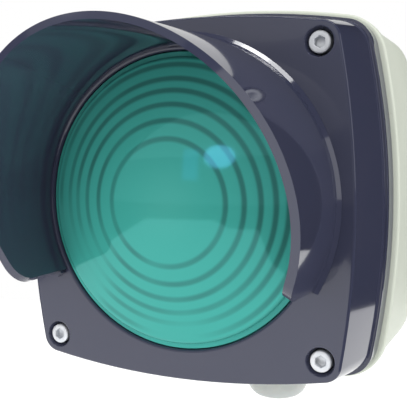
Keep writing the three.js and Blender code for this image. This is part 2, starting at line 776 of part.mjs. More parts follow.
// Insulated lead from a terminal up to the lamp holder.
function makeLead(side) {
  const startX = poleX(side < 0 ? 0 : terminalPoles - 1);
  const startZ = terminalZ + terminalHeight / 2 - 3;
  const startDepth = terminalWayDepth;
  const endX = (side * contactPitch) / 2;
  const path = new THREE.CatmullRomCurve3([
    new THREE.Vector3(startX, depthToY(startDepth), startZ),
    new THREE.Vector3(startX, depthToY(startDepth), startZ + 8),
    new THREE.Vector3((startX + endX) / 2 + side * 2, depthToY(leadDepth - 6), startZ / 2 - 3),
    new THREE.Vector3(endX, depthToY(leadDepth), -holderRadius - 5),
    new THREE.Vector3(endX, depthToY(leadDepth), -holderRadius + 3),
  ]);
  const section = new THREE.Shape();
  section.absarc(0, 0, leadRadius, 0, 2 * Math.PI);
  return solid(new THREE.ExtrudeGeometry(section, { steps: 16, extrudePath: path, curveSegments: 4 }));
}

// ---------------------------------------------------------------- cable gland
const bowDrop = (x) => housingBow - Math.sqrt(housingBow ** 2 - x ** 2);
const glandDepth = (rimBackDepth + bodyDepth) / 2 - glandForward;
const glandBore = glandThreadRadius - glandWall;
const glandFlangeRadius = glandThreadRadius + glandFlange;
const glandPadRadius = lockNutFlats / Math.sqrt(3) + glandPadEdge;
const domeNutRadius = glandThreadRadius + domeNutWall;
const domeNutBore = glandBore - domeNutMouth;
const glandSeatZ = -(rimHalf - housingInset) + bowDrop(glandX + glandFlangeRadius + glandSeatEdge);
const glandPadZ = -(rimHalf - housingInset - housingWall) + bowDrop(glandX + glandPadRadius);
const glandInnerZ = glandPadZ + gap;
const glandY = depthToY(glandDepth);
const glandSealTop = glandSeatZ - gap;
const glandFlangeTop = glandSealTop - glandSealThickness - gap;
const glandFlangeBottom = glandFlangeTop - glandFlangeThickness;
const nutTop = glandFlangeBottom - gap;
const nutBottom = nutTop - domeNutLength;
const grommetBottom = nutBottom + domeNutFloor + gap;
const tubeBottom = grommetBottom + grommetHeight - gap;

// Turned about the gland's vertical axis from [radius, z] pairs.
function glandTurned(profile, sides = 24) {
  const points = profile.map(([radius, z]) => new THREE.Vector2(radius, z));
  points.push(points[0].clone());
  const rising = THREE.ShapeUtils.area(points) > 0;
  const geometry = new THREE.LatheGeometry(rising ? points : points.reverse(), sides);
  geometry.rotateX(Math.PI / 2);
  geometry.translate(glandX, glandY, 0);
  return solid(geometry);
}

const makeGlandSeal = () =>
  glandTurned([
    [glandThreadRadius + gap, glandSealTop],
    [glandFlangeRadius, glandSealTop],
    [glandFlangeRadius, glandSealTop - glandSealThickness],
    [glandThreadRadius + gap, glandSealTop - glandSealThickness],
  ]);

const makeGlandBody = () =>
  glandTurned([
    [glandBore, glandInnerZ + lockNutThickness + glandStandIn],
    [glandThreadRadius, glandInnerZ + lockNutThickness + glandStandIn],
    [glandThreadRadius, glandFlangeTop],
    [glandFlangeRadius, glandFlangeTop],
    [glandFlangeRadius, glandFlangeBottom],
    [glandThreadRadius, glandFlangeBottom],
    [glandThreadRadius, tubeBottom],
    [glandBore + glandTubeChamfer, tubeBottom],
    [glandBore, tubeBottom + glandTubeChamfer],
  ]);

const makeGlandGrommet = () =>
  glandTurned([
    [domeNutBore - grommetSqueeze, tubeBottom - gap],
    [glandThreadRadius - grommetRoom, tubeBottom - gap],
    [glandThreadRadius - grommetRoom, grommetBottom],
    [domeNutBore - grommetSqueeze, grommetBottom],
  ]);

function makeDomeNut() {
  const profile = [[glandThreadRadius + gap, nutTop], [domeNutRadius, nutTop]];
  const steps = 3;
  for (let i = 0; i <= steps; i++) {
    const angle = (Math.PI * i) / (2 * steps);
    profile.push([
      domeNutRadius - domeNutCrown * (1 - Math.cos(angle)),
      nutTop - domeNutSkirt - (domeNutLength - domeNutSkirt) * Math.sin(angle),
    ]);
  }
  return glandTurned([
    ...profile,
    [domeNutBore, nutBottom],
    [domeNutBore, nutBottom + domeNutFloor],
    [glandThreadRadius + gap, nutBottom + domeNutFloor],
  ]);
}

function makeLockNut() {
  const top = glandInnerZ + lockNutThickness;
  const corner = lockNutFlats / Math.sqrt(3);
  const hexagon = new THREE.CylinderGeometry(corner, corner, lockNutThickness, 6);
  hexagon.rotateX(Math.PI / 2);
  hexagon.rotateZ(Math.PI / 6);
  hexagon.translate(glandX, glandY, (glandInnerZ + top) / 2);
  return solid(hexagon)
    .subtract(upright(glandThreadRadius + gap, glandInnerZ - over, top + over, glandX, glandY));
}

// ---------------------------------------------------------------- assembly
const head = new THREE.Group();
head.add(piece('rear_housing', makeHousing(), greyPlastic));
head.add(piece('housing_gasket', makeHousingGasket(), sealRubber));
head.add(piece('front_cover', makeCover(), blackPlastic));
head.add(piece('visor', makeVisor(), blackPlastic));
head.add(piece('lens', makeLens(), greenLens));
head.add(piece('lens_gasket', makeLensGasket(), sealRubber));
head.add(piece('lens_clamp_ring', makeClampRing(), greyNylon));
clampPlaces.forEach(([x, z], i) => {
  const length = clampBack + gap - plateThickness - 1.2;
  const seat = clampBack + gap;
  const screw = rearScrew(clampScrewRadius, length, clampScrewHead, clampScrewHeadHeight, seat, x, z);
  head.add(piece(`lens_clamp_screw_${i + 1}`, screw, zinc));
});
corners.forEach(([sideX, sideZ], i) => {
  const x = sideX * screwHalfPitch;
  const z = sideZ * screwHalfPitch;
  head.add(piece(`cover_screw_${i + 1}`, makeCoverScrew(x, z), zinc));
  head.add(piece(`cover_screw_seal_${i + 1}`, makeScrewSeal(x, z), sealRubber));
  head.add(piece(`threaded_insert_${i + 1}`, makeInsert(x, z), brass));
});
head.add(piece('reflector', makeReflector(), mirrorMetal));
head.add(piece('bulb_glass', makeBulb(), clearGlass));
head.add(piece('bulb_cap', makeBulbCap(), brass));
head.add(piece('lamp_holder', makeHolder(), cream));
head.add(piece('lamp_bracket', makeBracket(), zinc));
[-1, 1].forEach((side, i) => {
  head.add(piece(`holder_contact_${i + 1}`, makeContact(side), brass));
  const screw = frontScrew(smallScrewRadius, smallScrewLength, smallScrewHead, smallScrewHeadHeight,
    bracketDepth - gap, (side * bracketHolePitch) / 2, 0);
  head.add(piece(`bracket_screw_${i + 1}`, screw, zinc));
  head.add(piece(`terminal_fixing_${i + 1}`, makeTerminalFixing(side), zinc));
});
head.add(piece('terminal_block', makeTerminalBlock(), cream));
for (let pole = 0; pole < terminalPoles; pole++) {
  head.add(piece(`terminal_screw_${pole + 1}`, makeTerminalScrew(pole), brass));
}
head.add(piece('lead_neutral', makeLead(-1), blueLead));
head.add(piece('lead_live', makeLead(1), brownLead));
head.add(piece('gland_body', makeGlandBody(), greyNylon));
head.add(piece('gland_seal', makeGlandSeal(), sealRubber));
head.add(piece('gland_lock_nut', makeLockNut(), greyNylon));
head.add(piece('gland_grommet', makeGlandGrommet(), sealRubber));
head.add(piece('gland_dome_nut', makeDomeNut(), greyNylon));

export default head;
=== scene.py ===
import math

import bmesh
import bpy
from mathutils import Matrix, Vector


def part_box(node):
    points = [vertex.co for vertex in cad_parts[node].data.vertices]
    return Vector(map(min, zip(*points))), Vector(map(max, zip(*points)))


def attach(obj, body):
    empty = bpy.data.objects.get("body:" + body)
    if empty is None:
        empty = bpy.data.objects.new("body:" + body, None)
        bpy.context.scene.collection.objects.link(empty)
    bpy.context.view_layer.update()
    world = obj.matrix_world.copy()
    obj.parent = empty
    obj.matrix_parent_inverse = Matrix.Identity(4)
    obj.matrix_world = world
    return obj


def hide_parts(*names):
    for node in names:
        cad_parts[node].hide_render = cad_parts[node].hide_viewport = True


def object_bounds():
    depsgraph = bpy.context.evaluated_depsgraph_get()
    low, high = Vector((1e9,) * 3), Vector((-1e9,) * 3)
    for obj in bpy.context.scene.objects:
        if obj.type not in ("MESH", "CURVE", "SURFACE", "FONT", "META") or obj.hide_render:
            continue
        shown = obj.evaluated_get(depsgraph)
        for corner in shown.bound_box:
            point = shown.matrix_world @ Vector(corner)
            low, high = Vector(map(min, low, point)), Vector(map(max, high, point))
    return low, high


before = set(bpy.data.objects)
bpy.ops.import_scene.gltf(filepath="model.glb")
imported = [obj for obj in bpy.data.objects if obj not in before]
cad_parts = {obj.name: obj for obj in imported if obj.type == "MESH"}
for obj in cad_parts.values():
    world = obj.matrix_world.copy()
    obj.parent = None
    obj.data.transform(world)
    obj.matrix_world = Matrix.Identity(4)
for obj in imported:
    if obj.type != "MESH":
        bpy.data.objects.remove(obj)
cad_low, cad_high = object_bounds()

# ---------------------------------------------------------------- sizes, in metres
# A depth is measured backwards from the cover's front face.
MM = 0.001
HAIR = 0.05 * MM
scene = bpy.context.scene

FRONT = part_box("front_cover")[0].y
COVER_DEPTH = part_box("front_cover")[1].y - FRONT
COVER_BACK_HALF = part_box("front_cover")[1].x
COVER_DRAFT = 4.7 * MM
COVER_STEP = 1.2 * MM
COVER_LIP_DRAFT = 0.6 * MM
COVER_STEP_DEPTH = 30 * MM
COVER_HALF = COVER_BACK_HALF - COVER_DRAFT - COVER_STEP - COVER_LIP_DRAFT
COVER_WALL = 2.8 * MM
COVER_BOW = 345 * MM
COVER_BACK_BOW = 314 * MM
COVER_CORNER = 7.5 * MM
COVER_CORNER_GROWTH = 6 * MM
PLATE = 3.2 * MM

VISOR_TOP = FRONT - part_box("visor")[0].y
VISOR_FOOT = 3.5 * MM
VISOR_DRAFT = 2 * MM
VISOR_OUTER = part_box("visor")[1].x - VISOR_FOOT
VISOR_WALL = 2.5 * MM
VISOR_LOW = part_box("visor")[0].z
VISOR_TILT = math.radians(20)
VISOR_CORNER = 11 * MM

OPENING = VISOR_OUTER - VISOR_WALL
OPENING_NARROW = OPENING - 1.4 * MM
LENS_GAP = 0.3 * MM
LENS_STEP_SINK = 1.1 * MM
LENS_STEP_WIDTH = 2.2 * MM
LENS_SHOULDER = 3 * MM
LENS_SHOULDER_ROUND = 2.4 * MM
LENS_WALL = 2.4 * MM
LENS_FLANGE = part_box("lens")[1].x
LENS_FLANGE_DEPTH = 5.8 * MM
LENS_BACK_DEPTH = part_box("lens")[1].y - FRONT
DOME_RADIUS = 190 * MM
RING_RADII = [55.3, 49.6, 44.8, 39.2, 32.8, 25.5]  # the lens's stepped rings, in mm
RIB_HEIGHT = 1 * MM

RIM_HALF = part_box("rear_housing")[1].x
HOUSING_BOW = 318 * MM
HOUSING_CORNER = 19.6 * MM

# in millimetres, as the turned profiles are
SCREW_HEAD = 4.25
SCREW_WELL = 5.7
COVER_BOSS = 7.2
RIM_START = 39.3
RIM_END = 45.3
HOUSING_FLOOR = 96.5
HOUSING_DEPTH = 100
GROOVE_OUTER = 2.9
GROOVE_INNER = 4.9
WALL_HOLE = 3.2
WALL_HOLE_PLACES = [(38, 62), (-38, 62), (-38, -62), (38, -62)]
POST_X = 32
GLAND_THREAD = 10
GLAND_FLANGE = 13.2
NUT_ROUND = 14.5
NUT_CROWN = 7.3
CONTACT_X = 3.5


def centre_of(node):
    low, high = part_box(node)
    return (low + high) / 2


SCREWS = [f"cover_screw_{i}" for i in range(1, 5)]
SCREW_PLACES = [centre_of(node) for node in SCREWS]


def depth_of(y):
    return y - FRONT


# ---------------------------------------------------------------- shader maths
class Value:
    """A shader socket that arithmetic works on: each operation adds a Math node."""

    def __init__(self, finish, socket):
        self.finish = finish
        self.socket = socket

    def maths(self, operation, *values):
        return self.finish.node("Math", {"operation": operation}, dict(enumerate(values)))

    def __add__(self, other):
        return self.maths("ADD", self, other)

    def __sub__(self, other):
        return self.maths("SUBTRACT", self, other)

    def __rsub__(self, other):
        return self.maths("SUBTRACT", other, self)

    def __mul__(self, other):
        return self.maths("MULTIPLY", self, other)

    def __truediv__(self, other):
        return self.maths("DIVIDE", self, other)

    __radd__ = __add__
    __rmul__ = __mul__

    def root(self):
        return self.maths("SQRT", self)

    def between(self, low, high):
        """0 below low, 1 above high, smooth in between."""
        return self.finish.node(
            "MapRange",
            {"interpolation_type": "SMOOTHSTEP"},
            {"Value": self, "From Min": low, "From Max": high},
        )


class Finish:
    """A material round one Principled shader, whose sockets are set or linked by name."""

    def __init__(self, name, **constants):
        self.material = bpy.data.materials.new(name)
        self.material.use_nodes = True
        self.tree = self.material.node_tree
        self.shader = self.tree.nodes["Principled BSDF"]
        for name, value in constants.items():
            self.feed(self.shader.inputs[name.replace("_", " ").title().replace("Ior", "IOR")], value)
        self.place = self.node("TexCoord", output="Object")

    def node(self, kind, settings=None, sockets=None, output=0):
        made = self.tree.nodes.new("ShaderNode" + kind)
        for name, value in (settings or {}).items():
            if name == "stops":
                self.set_stops(made.color_ramp, value)
            else:
                setattr(made, name, value)
        for name, value in (sockets or {}).items():
            self.feed(self.find(made.inputs, name), value)
        return Value(self, self.find(made.outputs, output))

    @staticmethod
    def find(sockets, name):
        if isinstance(name, int):
            return sockets[name]
        return next(s for s in sockets if s.name == name and s.enabled)

    @staticmethod
    def set_stops(ramp, stops):
        ramp.interpolation = "EASE"
        while len(ramp.elements) < len(stops):
            ramp.elements.new(1)
        for element, (position, colour) in zip(ramp.elements, stops):
            element.position = position
            element.color = (*colour, 1)

    def feed(self, socket, value):
        if isinstance(value, Value):
            self.tree.links.new(value.socket, socket)
        elif socket.type == "RGBA":
            socket.default_value = (*value, 1)
        else:
            socket.default_value = value

    def set(self, **values):
        for name, value in values.items():
            self.feed(self.shader.inputs[name.replace("_", " ").title()], value)
        return self

    def noise(self, scale, detail=2.0, stretch=None):
        place = self.place
        if stretch:
            place = self.node("Mapping", {}, {"Vector": place, "Scale": stretch}, "Vector")
        return self.node("TexNoise", {}, {"Vector": place, "Scale": scale, "Detail": detail}, "Fac")

    def blend(self, factor, a, b):
        return self.node("Mix", {"data_type": "RGBA"}, {"Factor": factor, "A": a, "B": b}, "Result")

    def bump(self, height, distance, strength=1.0):
        sockets = {"Height": height, "Distance": distance, "Strength": strength}
        return self.set(normal=self.node("Bump", {}, sockets, "Normal"))

    def across(self):
        """Distance from the lamp's axis, in metres."""
        x = self.node("SeparateXYZ", {}, {"Vector": self.place}, "X")
        z = self.node("SeparateXYZ", {}, {"Vector": self.place}, "Z")
        return (x * x + z * z).root()


# ---------------------------------------------------------------- finishes
def make_black():
    """Glossy near-black moulding with a navy cast, faint handling marks and orange peel."""
    black = Finish("black gloss moulding", ior=1.5, coat_weight=0.3, coat_roughness=0.03)
    smear = black.noise(26, 4)
    scuff = black.noise(900, 3, (1, 1, 0.12)).between(0.62, 0.8)
    black.set(
        base_color=black.blend(smear, (0.035, 0.040, 0.073), (0.046, 0.048, 0.080)),
        roughness=smear * 0.05 + scuff * 0.08 + 0.06,
    )
    return black.bump(black.noise(120, 1), 0.00003, 0.15).material


def make_grey_housing():
    """Pale grey-green moulding with a fine grain and slightly dirty patches."""
    grey = Finish("grey housing moulding", ior=1.46)
    patch = grey.noise(22, 4)
    grain = grey.noise(2600, 2)
    speck = grey.noise(420, 2).between(0.66, 0.78)
    clean = grey.blend(patch, (0.60, 0.645, 0.545), (0.67, 0.705, 0.615))
    grey.set(
        base_color=grey.blend(speck * 0.25, clean, (0.42, 0.44, 0.37)),
        roughness=patch * 0.12 + grain * 0.08 + 0.36,
    )
    return grey.bump(grain, 0.00006, 0.6).material


def make_nylon():
    """Light grey nylon of the cable gland and the clamp ring."""
    nylon = Finish("light grey nylon", ior=1.53, subsurface_weight=0.08)
    patch = nylon.noise(60, 3)
    nylon.set(
        base_color=nylon.blend(patch, (0.43, 0.44, 0.425), (0.50, 0.51, 0.50)),
        roughness=patch * 0.1 + 0.3,
    )
    return nylon.bump(nylon.noise(1500, 2), 0.00004, 0.4).material


def make_green():
    """Green signal lens: glossy skin over stepped rings, milky in the middle, with painted shade: the
    rings as dark bands and a darker outer edge under the visor.
    """
    green = Finish(
        "green signal lens", ior=1.6, specular_ior_level=0.53, specular_tint=(0.28, 1.0, 0.97)
    )
    body = (0.050, 0.345, 0.298)
    ring_shade_colour = (0.028, 0.14, 0.125)
    milky = (0.070, 0.37, 0.32)
    # edge: the outer zone painted darker, painted shade from the visor
    edge = (0.040, 0.24, 0.21)
    reach = LENS_FLANGE / MM
    stops = [(0.0, milky), (20 / reach, body)]
    # each stepped ring is painted as a dark band: painted shade of the rings behind the skin
    for radius in reversed(RING_RADII):
        stops += [((radius - 1.8) / reach, body), ((radius - 0.4) / reach, ring_shade_colour)]
        stops += [((radius + 0.4) / reach, ring_shade_colour), ((radius + 1.6) / reach, body)]
    stops += [(60 / reach, edge)]
    rings = green.node("ValToRGB", {"stops": stops}, {0: green.across() / LENS_FLANGE}, "Color")
    x = green.node("SeparateXYZ", {}, {"Vector": green.place}, "X")
    z = green.node("SeparateXYZ", {}, {"Vector": green.place}, "Z")
    # the painted ring shade is faded out with noise on the lower-left side of the lens
    faint = 1 - (x * 0.8 + z * 0.6).between(-0.03, 0.03) * 0.9
    lens_colour_painted_shade = green.blend(faint * green.noise(18, 2).between(0.2, 0.6), rings, body)
    green.set(base_color=lens_colour_painted_shade, roughness=green.noise(50, 3) * 0.05 + 0.04)
    return green.bump(green.noise(70, 2), 0.00004, 0.3).material


def make_rubber():
    rubber = Finish("black seal rubber", ior=1.5)
    dust = rubber.noise(300, 4)
    rubber.set(
        base_color=rubber.blend(dust, (0.010, 0.010, 0.011), (0.030, 0.030, 0.030)),
        roughness=dust * 0.2 + 0.6,
    )
    return rubber.bump(rubber.noise(1800, 2), 0.00004, 0.5).material


def make_zinc():
    """Bright zinc plate with turning marks and a faint blue passivation."""
    zinc = Finish("bright zinc plate", metallic=0.6)
    mark = zinc.noise(700, 3)
    tint = zinc.noise(120, 2)
    zinc.set(
        base_color=zinc.blend(tint, (0.70, 0.735, 0.80), (0.79, 0.795, 0.80)),
        roughness=mark * 0.2 + 0.25,
    )
    return zinc.bump(mark, 0.00002, 0.5).material


def make_brass():
    brass = Finish("nickel brass", metallic=1.0)
    mark = brass.noise(500, 3)
    brass.set(
        base_color=brass.blend(mark, (0.70, 0.50, 0.20), (0.52, 0.38, 0.16)),
        roughness=mark * 0.2 + 0.24,
    )
    return brass.bump(mark, 0.00002, 0.4).material


def make_mirror():
    """Metallised reflector, with the faint waves that a pressed bowl keeps."""
    mirror = Finish("metallised reflector", metallic=1.0)
    wave = mirror.noise(45, 2)
    mirror.set(
        base_color=mirror.blend(wave, (0.86, 0.87, 0.88), (0.92, 0.92, 0.92)),
        roughness=wave * 0.06 + 0.06,
    )
    return mirror.bump(wave, 0.0003, 0.4).material


def make_cream():
    cream = Finish("cream moulded insulator", ior=1.5)
    patch = cream.noise(120, 4)
    cream.set(
        base_color=cream.blend(patch, (0.72, 0.66, 0.53), (0.80, 0.75, 0.63)),
        roughness=patch * 0.15 + 0.25,
    )
    return cream.bump(cream.noise(1100, 2), 0.00003, 0.4).material


def make_glass():
    glass = Finish("clear bulb glass", ior=1.5, transmission_weight=1.0)
    haze = glass.noise(90, 3)
    glass.set(base_color=glass.blend(haze, (0.97, 0.98, 0.97), (1, 1, 1)), roughness=haze * 0.03)
    return glass.material


def make_lead(name, colour, worn):
    lead = Finish(name, ior=1.5)
    patch = lead.noise(250, 3)
    lead.set(base_color=lead.blend(patch, colour, worn), roughness=patch * 0.2 + 0.3)
    return lead.bump(lead.noise(900, 2), 0.00003, 0.4).material


BLACK = make_black()
GREY = make_grey_housing()
NYLON = make_nylon()
GREEN = make_green()
RUBBER = make_rubber()
ZINC = make_zinc()
BRASS = make_brass()
MIRROR = make_mirror()
CREAM = make_cream()
GLASS = make_glass()
BLUE = make_lead("blue lead", (0.02, 0.10, 0.42), (0.04, 0.14, 0.45))
BROWN = make_lead("brown lead", (0.13, 0.045, 0.016), (0.18, 0.075, 0.03))


# ---------------------------------------------------------------- shaping
def rounded(points, steps=4):
    """A profile's corners as arcs: each point is (across, along) or (across, along, radius)."""
    made = []
    for i, (across, along, *radius) in enumerate(points):
        corner = Vector((across, along))
        if not radius:
            made.append(corner)
            continue
        back = (Vector(points[i - 1][:2]) - corner).normalized()
        on = (Vector(points[(i + 1) % len(points)][:2]) - corner).normalized()
        half = back.angle(on) / 2
        centre = corner + (back + on).normalized() * radius[0] / math.sin(half)
        start = corner + back * radius[0] / math.tan(half) - centre
        end = corner + on * radius[0] / math.tan(half) - centre
        sweep = math.copysign(start.angle(end), start.x * end.y - start.y * end.x)
        for step in range(steps + 1):
            made.append(centre + Matrix.Rotation(sweep * step / steps, 2) @ start)
    return made


def in_mm(points):
    """A profile written in millimetres."""
    return [tuple(value * MM for value in point) for point in points]


def staggered(stations):
    """No two stations in a row at one depth, where the faces between them could cross over."""
    made = []
    for across, depth in stations:
        level = made and abs(depth - made[-1][1]) < HAIR / 2
        made.append((across, made[-1][1] + HAIR if level else depth))
    return made


def arc(bm, tip, centre, angle, steps):
    """Draws an arc on from the vertex tip, anticlockwise as seen from the front."""
    made = bmesh.ops.spin(bm, geom=[tip], cent=centre, axis=(0, -1, 0), angle=angle, steps=steps)
    return next(item for item in made["geom_last"] if isinstance(item, bmesh.types.BMVert))


def bowed_square(bm, half, bow, corner, y):
    """A closed loop of edges: a square with bowed sides and round corners."""
    offset = bow - half
    centre = (math.sqrt(2 * (bow - corner) ** 2 - offset**2) - offset) / 2
    meet = math.atan2(centre, centre + offset)
    before = set(bm.edges)
    first = bm.verts.new((bow * math.cos(meet) - offset, y, -bow * math.sin(meet)))
    tip = first
    side_steps, corner_steps = 16, 9
    for quarter in range(4):
        turn = Matrix.Rotation(-quarter * math.pi / 2, 3, "Y")
        tip = arc(bm, tip, turn @ Vector((-offset, y, 0)), 2 * meet, side_steps)
        corner_centre = turn @ Vector((centre, y, centre))
        tip = arc(bm, tip, corner_centre, math.pi / 2 - 2 * meet, corner_steps)
    bmesh.ops.weld_verts(bm, targetmap={tip: first})
    return [edge for edge in bm.edges if edge not in before]


def circle(bm, radius, x, y, z, segments=96):
    """A closed loop of edges round an axis along Y."""
    place = Matrix.Translation((x, y, z)) @ Matrix.Rotation(math.pi / 2, 4, "X")
    made = bmesh.ops.create_circle(bm, segments=segments, radius=radius, matrix=place)
    return list({edge for vert in made["verts"] for edge in vert.link_edges})


def skin(bm, loops):
    """Joins each loop of edges to the next, and returns the first and the last."""
    for near, far in zip(loops, loops[1:]):
        bmesh.ops.bridge_loops(bm, edges=near + far)
    return loops[0], loops[-1]


def cap(bm, *loops):
    """A flat face between an outer loop and the holes in it."""
    bmesh.ops.triangle_fill(bm, edges=[edge for loop in loops for edge in loop], use_beauty=True)


def place_at(x, y, z):
    """A turned piece's own +Y axis pointing back from a point."""
    return Matrix.Translation((x, y, z))


def upright_at(x, y):
    """A turned piece's own +Y axis pointing up from the floor level."""
    return Matrix.Translation((x, y, 0)) @ Matrix.Rotation(math.pi / 2, 4, "X")


def lathe(bm, profile, place, steps=72, angle=2 * math.pi, start=0.0, rise=0.0):
    """Turns a profile of (radius, along) pairs about its own Y axis and puts it in place."""
    before = set(bm.verts)
    turn = Matrix.Rotation(-start, 3, "Y")
    verts = [bm.verts.new(turn @ Vector((radius, along, 0))) for radius, along in profile]
    on_axis = profile[0][0] == 0 and profile[-1][0] == 0
    pairs = list(zip(verts, verts[1:])) + ([] if on_axis else [(verts[-1], verts[0])])
    edges = [bm.edges.new(pair) for pair in pairs]
    full = angle == 2 * math.pi
    made = bmesh.ops.spin(
        bm, geom=verts + edges, cent=(0, 0, 0), axis=(0, -1, 0), angle=angle, steps=steps,
        dvec=(0, rise / steps, 0), use_merge=full,
    )
    if not full:
        end = [item for item in made["geom_last"] if isinstance(item, bmesh.types.BMEdge)]
        bmesh.ops.edgeloop_fill(bm, edges=edges)
        bmesh.ops.edgeloop_fill(bm, edges=end)
    new = [vert for vert in bm.verts if vert not in before]
    bmesh.ops.transform(bm, matrix=place, verts=new)
    return new


def box(bm, low, high, bevel=0.0):
    """A block between two corners, with its edges rounded."""
    low, high = Vector(low), Vector(high)
    size = Matrix.Diagonal((*(high - low), 1))
    made = bmesh.ops.create_cube(bm, size=1, matrix=Matrix.Translation((low + high) / 2) @ size)
    if bevel:
        edges = list({edge for vert in made["verts"] for edge in vert.link_edges})
        bmesh.ops.bevel(
            bm, geom=edges, offset=bevel, affect="EDGES", segments=2, profile=0.5, material=-1
        )


def piece(name, bm, body, finish, nodes=(), crease=38):
    """Makes the mesh a piece that rides on a body and stands for CAD nodes."""
    bmesh.ops.remove_doubles(bm, verts=bm.verts[:], dist=1e-6)
    bmesh.ops.recalc_face_normals(bm, faces=bm.faces[:])
    mesh = bpy.data.meshes.new(name)
    bm.to_mesh(mesh)
    bm.free()
    mesh.materials.append(finish)
    mesh.shade_smooth()
    mesh.set_sharp_from_angle(angle=math.radians(crease))
    made = bpy.data.objects.new(name, mesh)
    scene.collection.objects.link(made)
    weigh = made.modifiers.new("flat faces stay flat", "WEIGHTED_NORMAL")
    weigh.keep_sharp = True
    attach(made, body)
    if nodes:
        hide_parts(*nodes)
    return made


def turned(name, node, body, finish, profile, place, steps=72):
    """One lathe piece in place of a CAD node."""
    bm = bmesh.new()
    lathe(bm, profile, place, steps)
    return piece(name, bm, body, finish, [node])


# ---------------------------------------------------------------- front cover
def cover_loop(bm, outward, depth):
    """The cover's outline at a depth, `outward` beyond the front face's edge."""
    skirt = COVER_DRAFT * min(depth / COVER_STEP_DEPTH, 1)
    if depth > COVER_STEP_DEPTH:
        skirt += COVER_STEP
    inside = max(0.0, skirt - outward)
    share = depth / COVER_DEPTH
    bow = COVER_BOW + (COVER_BACK_BOW - COVER_BOW) * share
    corner = max(COVER_CORNER + COVER_CORNER_GROWTH * share - inside, 1.5 * MM)
    return bowed_square(bm, COVER_HALF + outward, bow - inside, corner, FRONT + depth)


def make_cover():
    bm = bmesh.new()
    lip = COVER_DRAFT + COVER_STEP
    skirt = rounded([
        (-5 * MM, 0),
        (0, 0, 1.1 * MM),
        (COVER_DRAFT, COVER_STEP_DEPTH, 0.4 * MM),
        (lip, COVER_STEP_DEPTH, 0.5 * MM),
        (lip + COVER_LIP_DRAFT, COVER_DEPTH, 0.5 * MM),
        (COVER_DRAFT - COVER_WALL, COVER_DEPTH, 0.4 * MM),
        (0.5 * MM - COVER_WALL, PLATE, 0.8 * MM),
        (-9 * MM, PLATE),
    ])[1:-1]
    front, back = skin(bm, [cover_loop(bm, outward, depth) for outward, depth in staggered(skirt)])
    wide = OPENING_NARROW + 5 * MM
    throat = rounded([
        (wide, 0), (OPENING_NARROW, 0, 1.2 * MM), (OPENING_NARROW, PLATE, 0.3 * MM), (wide, PLATE)
    ])
    mouth = skin(bm, [circle(bm, radius, 0, FRONT + depth, 0, 160) for radius, depth in throat[1:-1]])
    wells = []
    beyond, well_foot, plate_back = 9, 4.5, 3.2
    boss_bore, boss_start, boss_end, screw_way, seal_floor = 5.75, 0.7, 39, 2.9, 7
    for place in SCREW_PLACES:
        well = rounded(in_mm([
            (beyond, 0), (SCREW_WELL, 0, 0.35), (well_foot, plate_back, 0.1), (beyond, plate_back)
        ]))[1:-1]
        wells.append(skin(bm, [
            circle(bm, radius, place.x, FRONT + depth, place.z, 40) for radius, depth in well
        ]))
        boss = rounded(in_mm([
            (boss_bore, boss_start), (COVER_BOSS, boss_start), (COVER_BOSS, boss_end, 0.4),
            (screw_way, boss_end, 0.3), (screw_way, seal_floor), (boss_bore, seal_floor, 0.3),
        ]))
        lathe(bm, boss, place_at(place.x, FRONT, place.z), 40)
    cap(bm, front, mouth[0], *(well[0] for well in wells))
    cap(bm, back, mouth[1], *(well[1] for well in wells))
    stud, stud_bore, stud_end, bore_floor, stud_root = 3.4, 1.5, 8.3, 3.8, 2.5
    stud = rounded(in_mm([
        (stud_bore, bore_floor), (stud_bore, stud_end, 0.2), (stud, stud_end, 0.3), (stud, stud_root),
        (0, stud_root), (0, bore_floor),
    ]))
    for i in range(1, 5):
        place = centre_of(f"lens_clamp_screw_{i}")
        lathe(bm, stud, place_at(place.x, FRONT, place.z), 28)
    piece("cover_moulding", bm, "cover", BLACK, ["front_cover"])


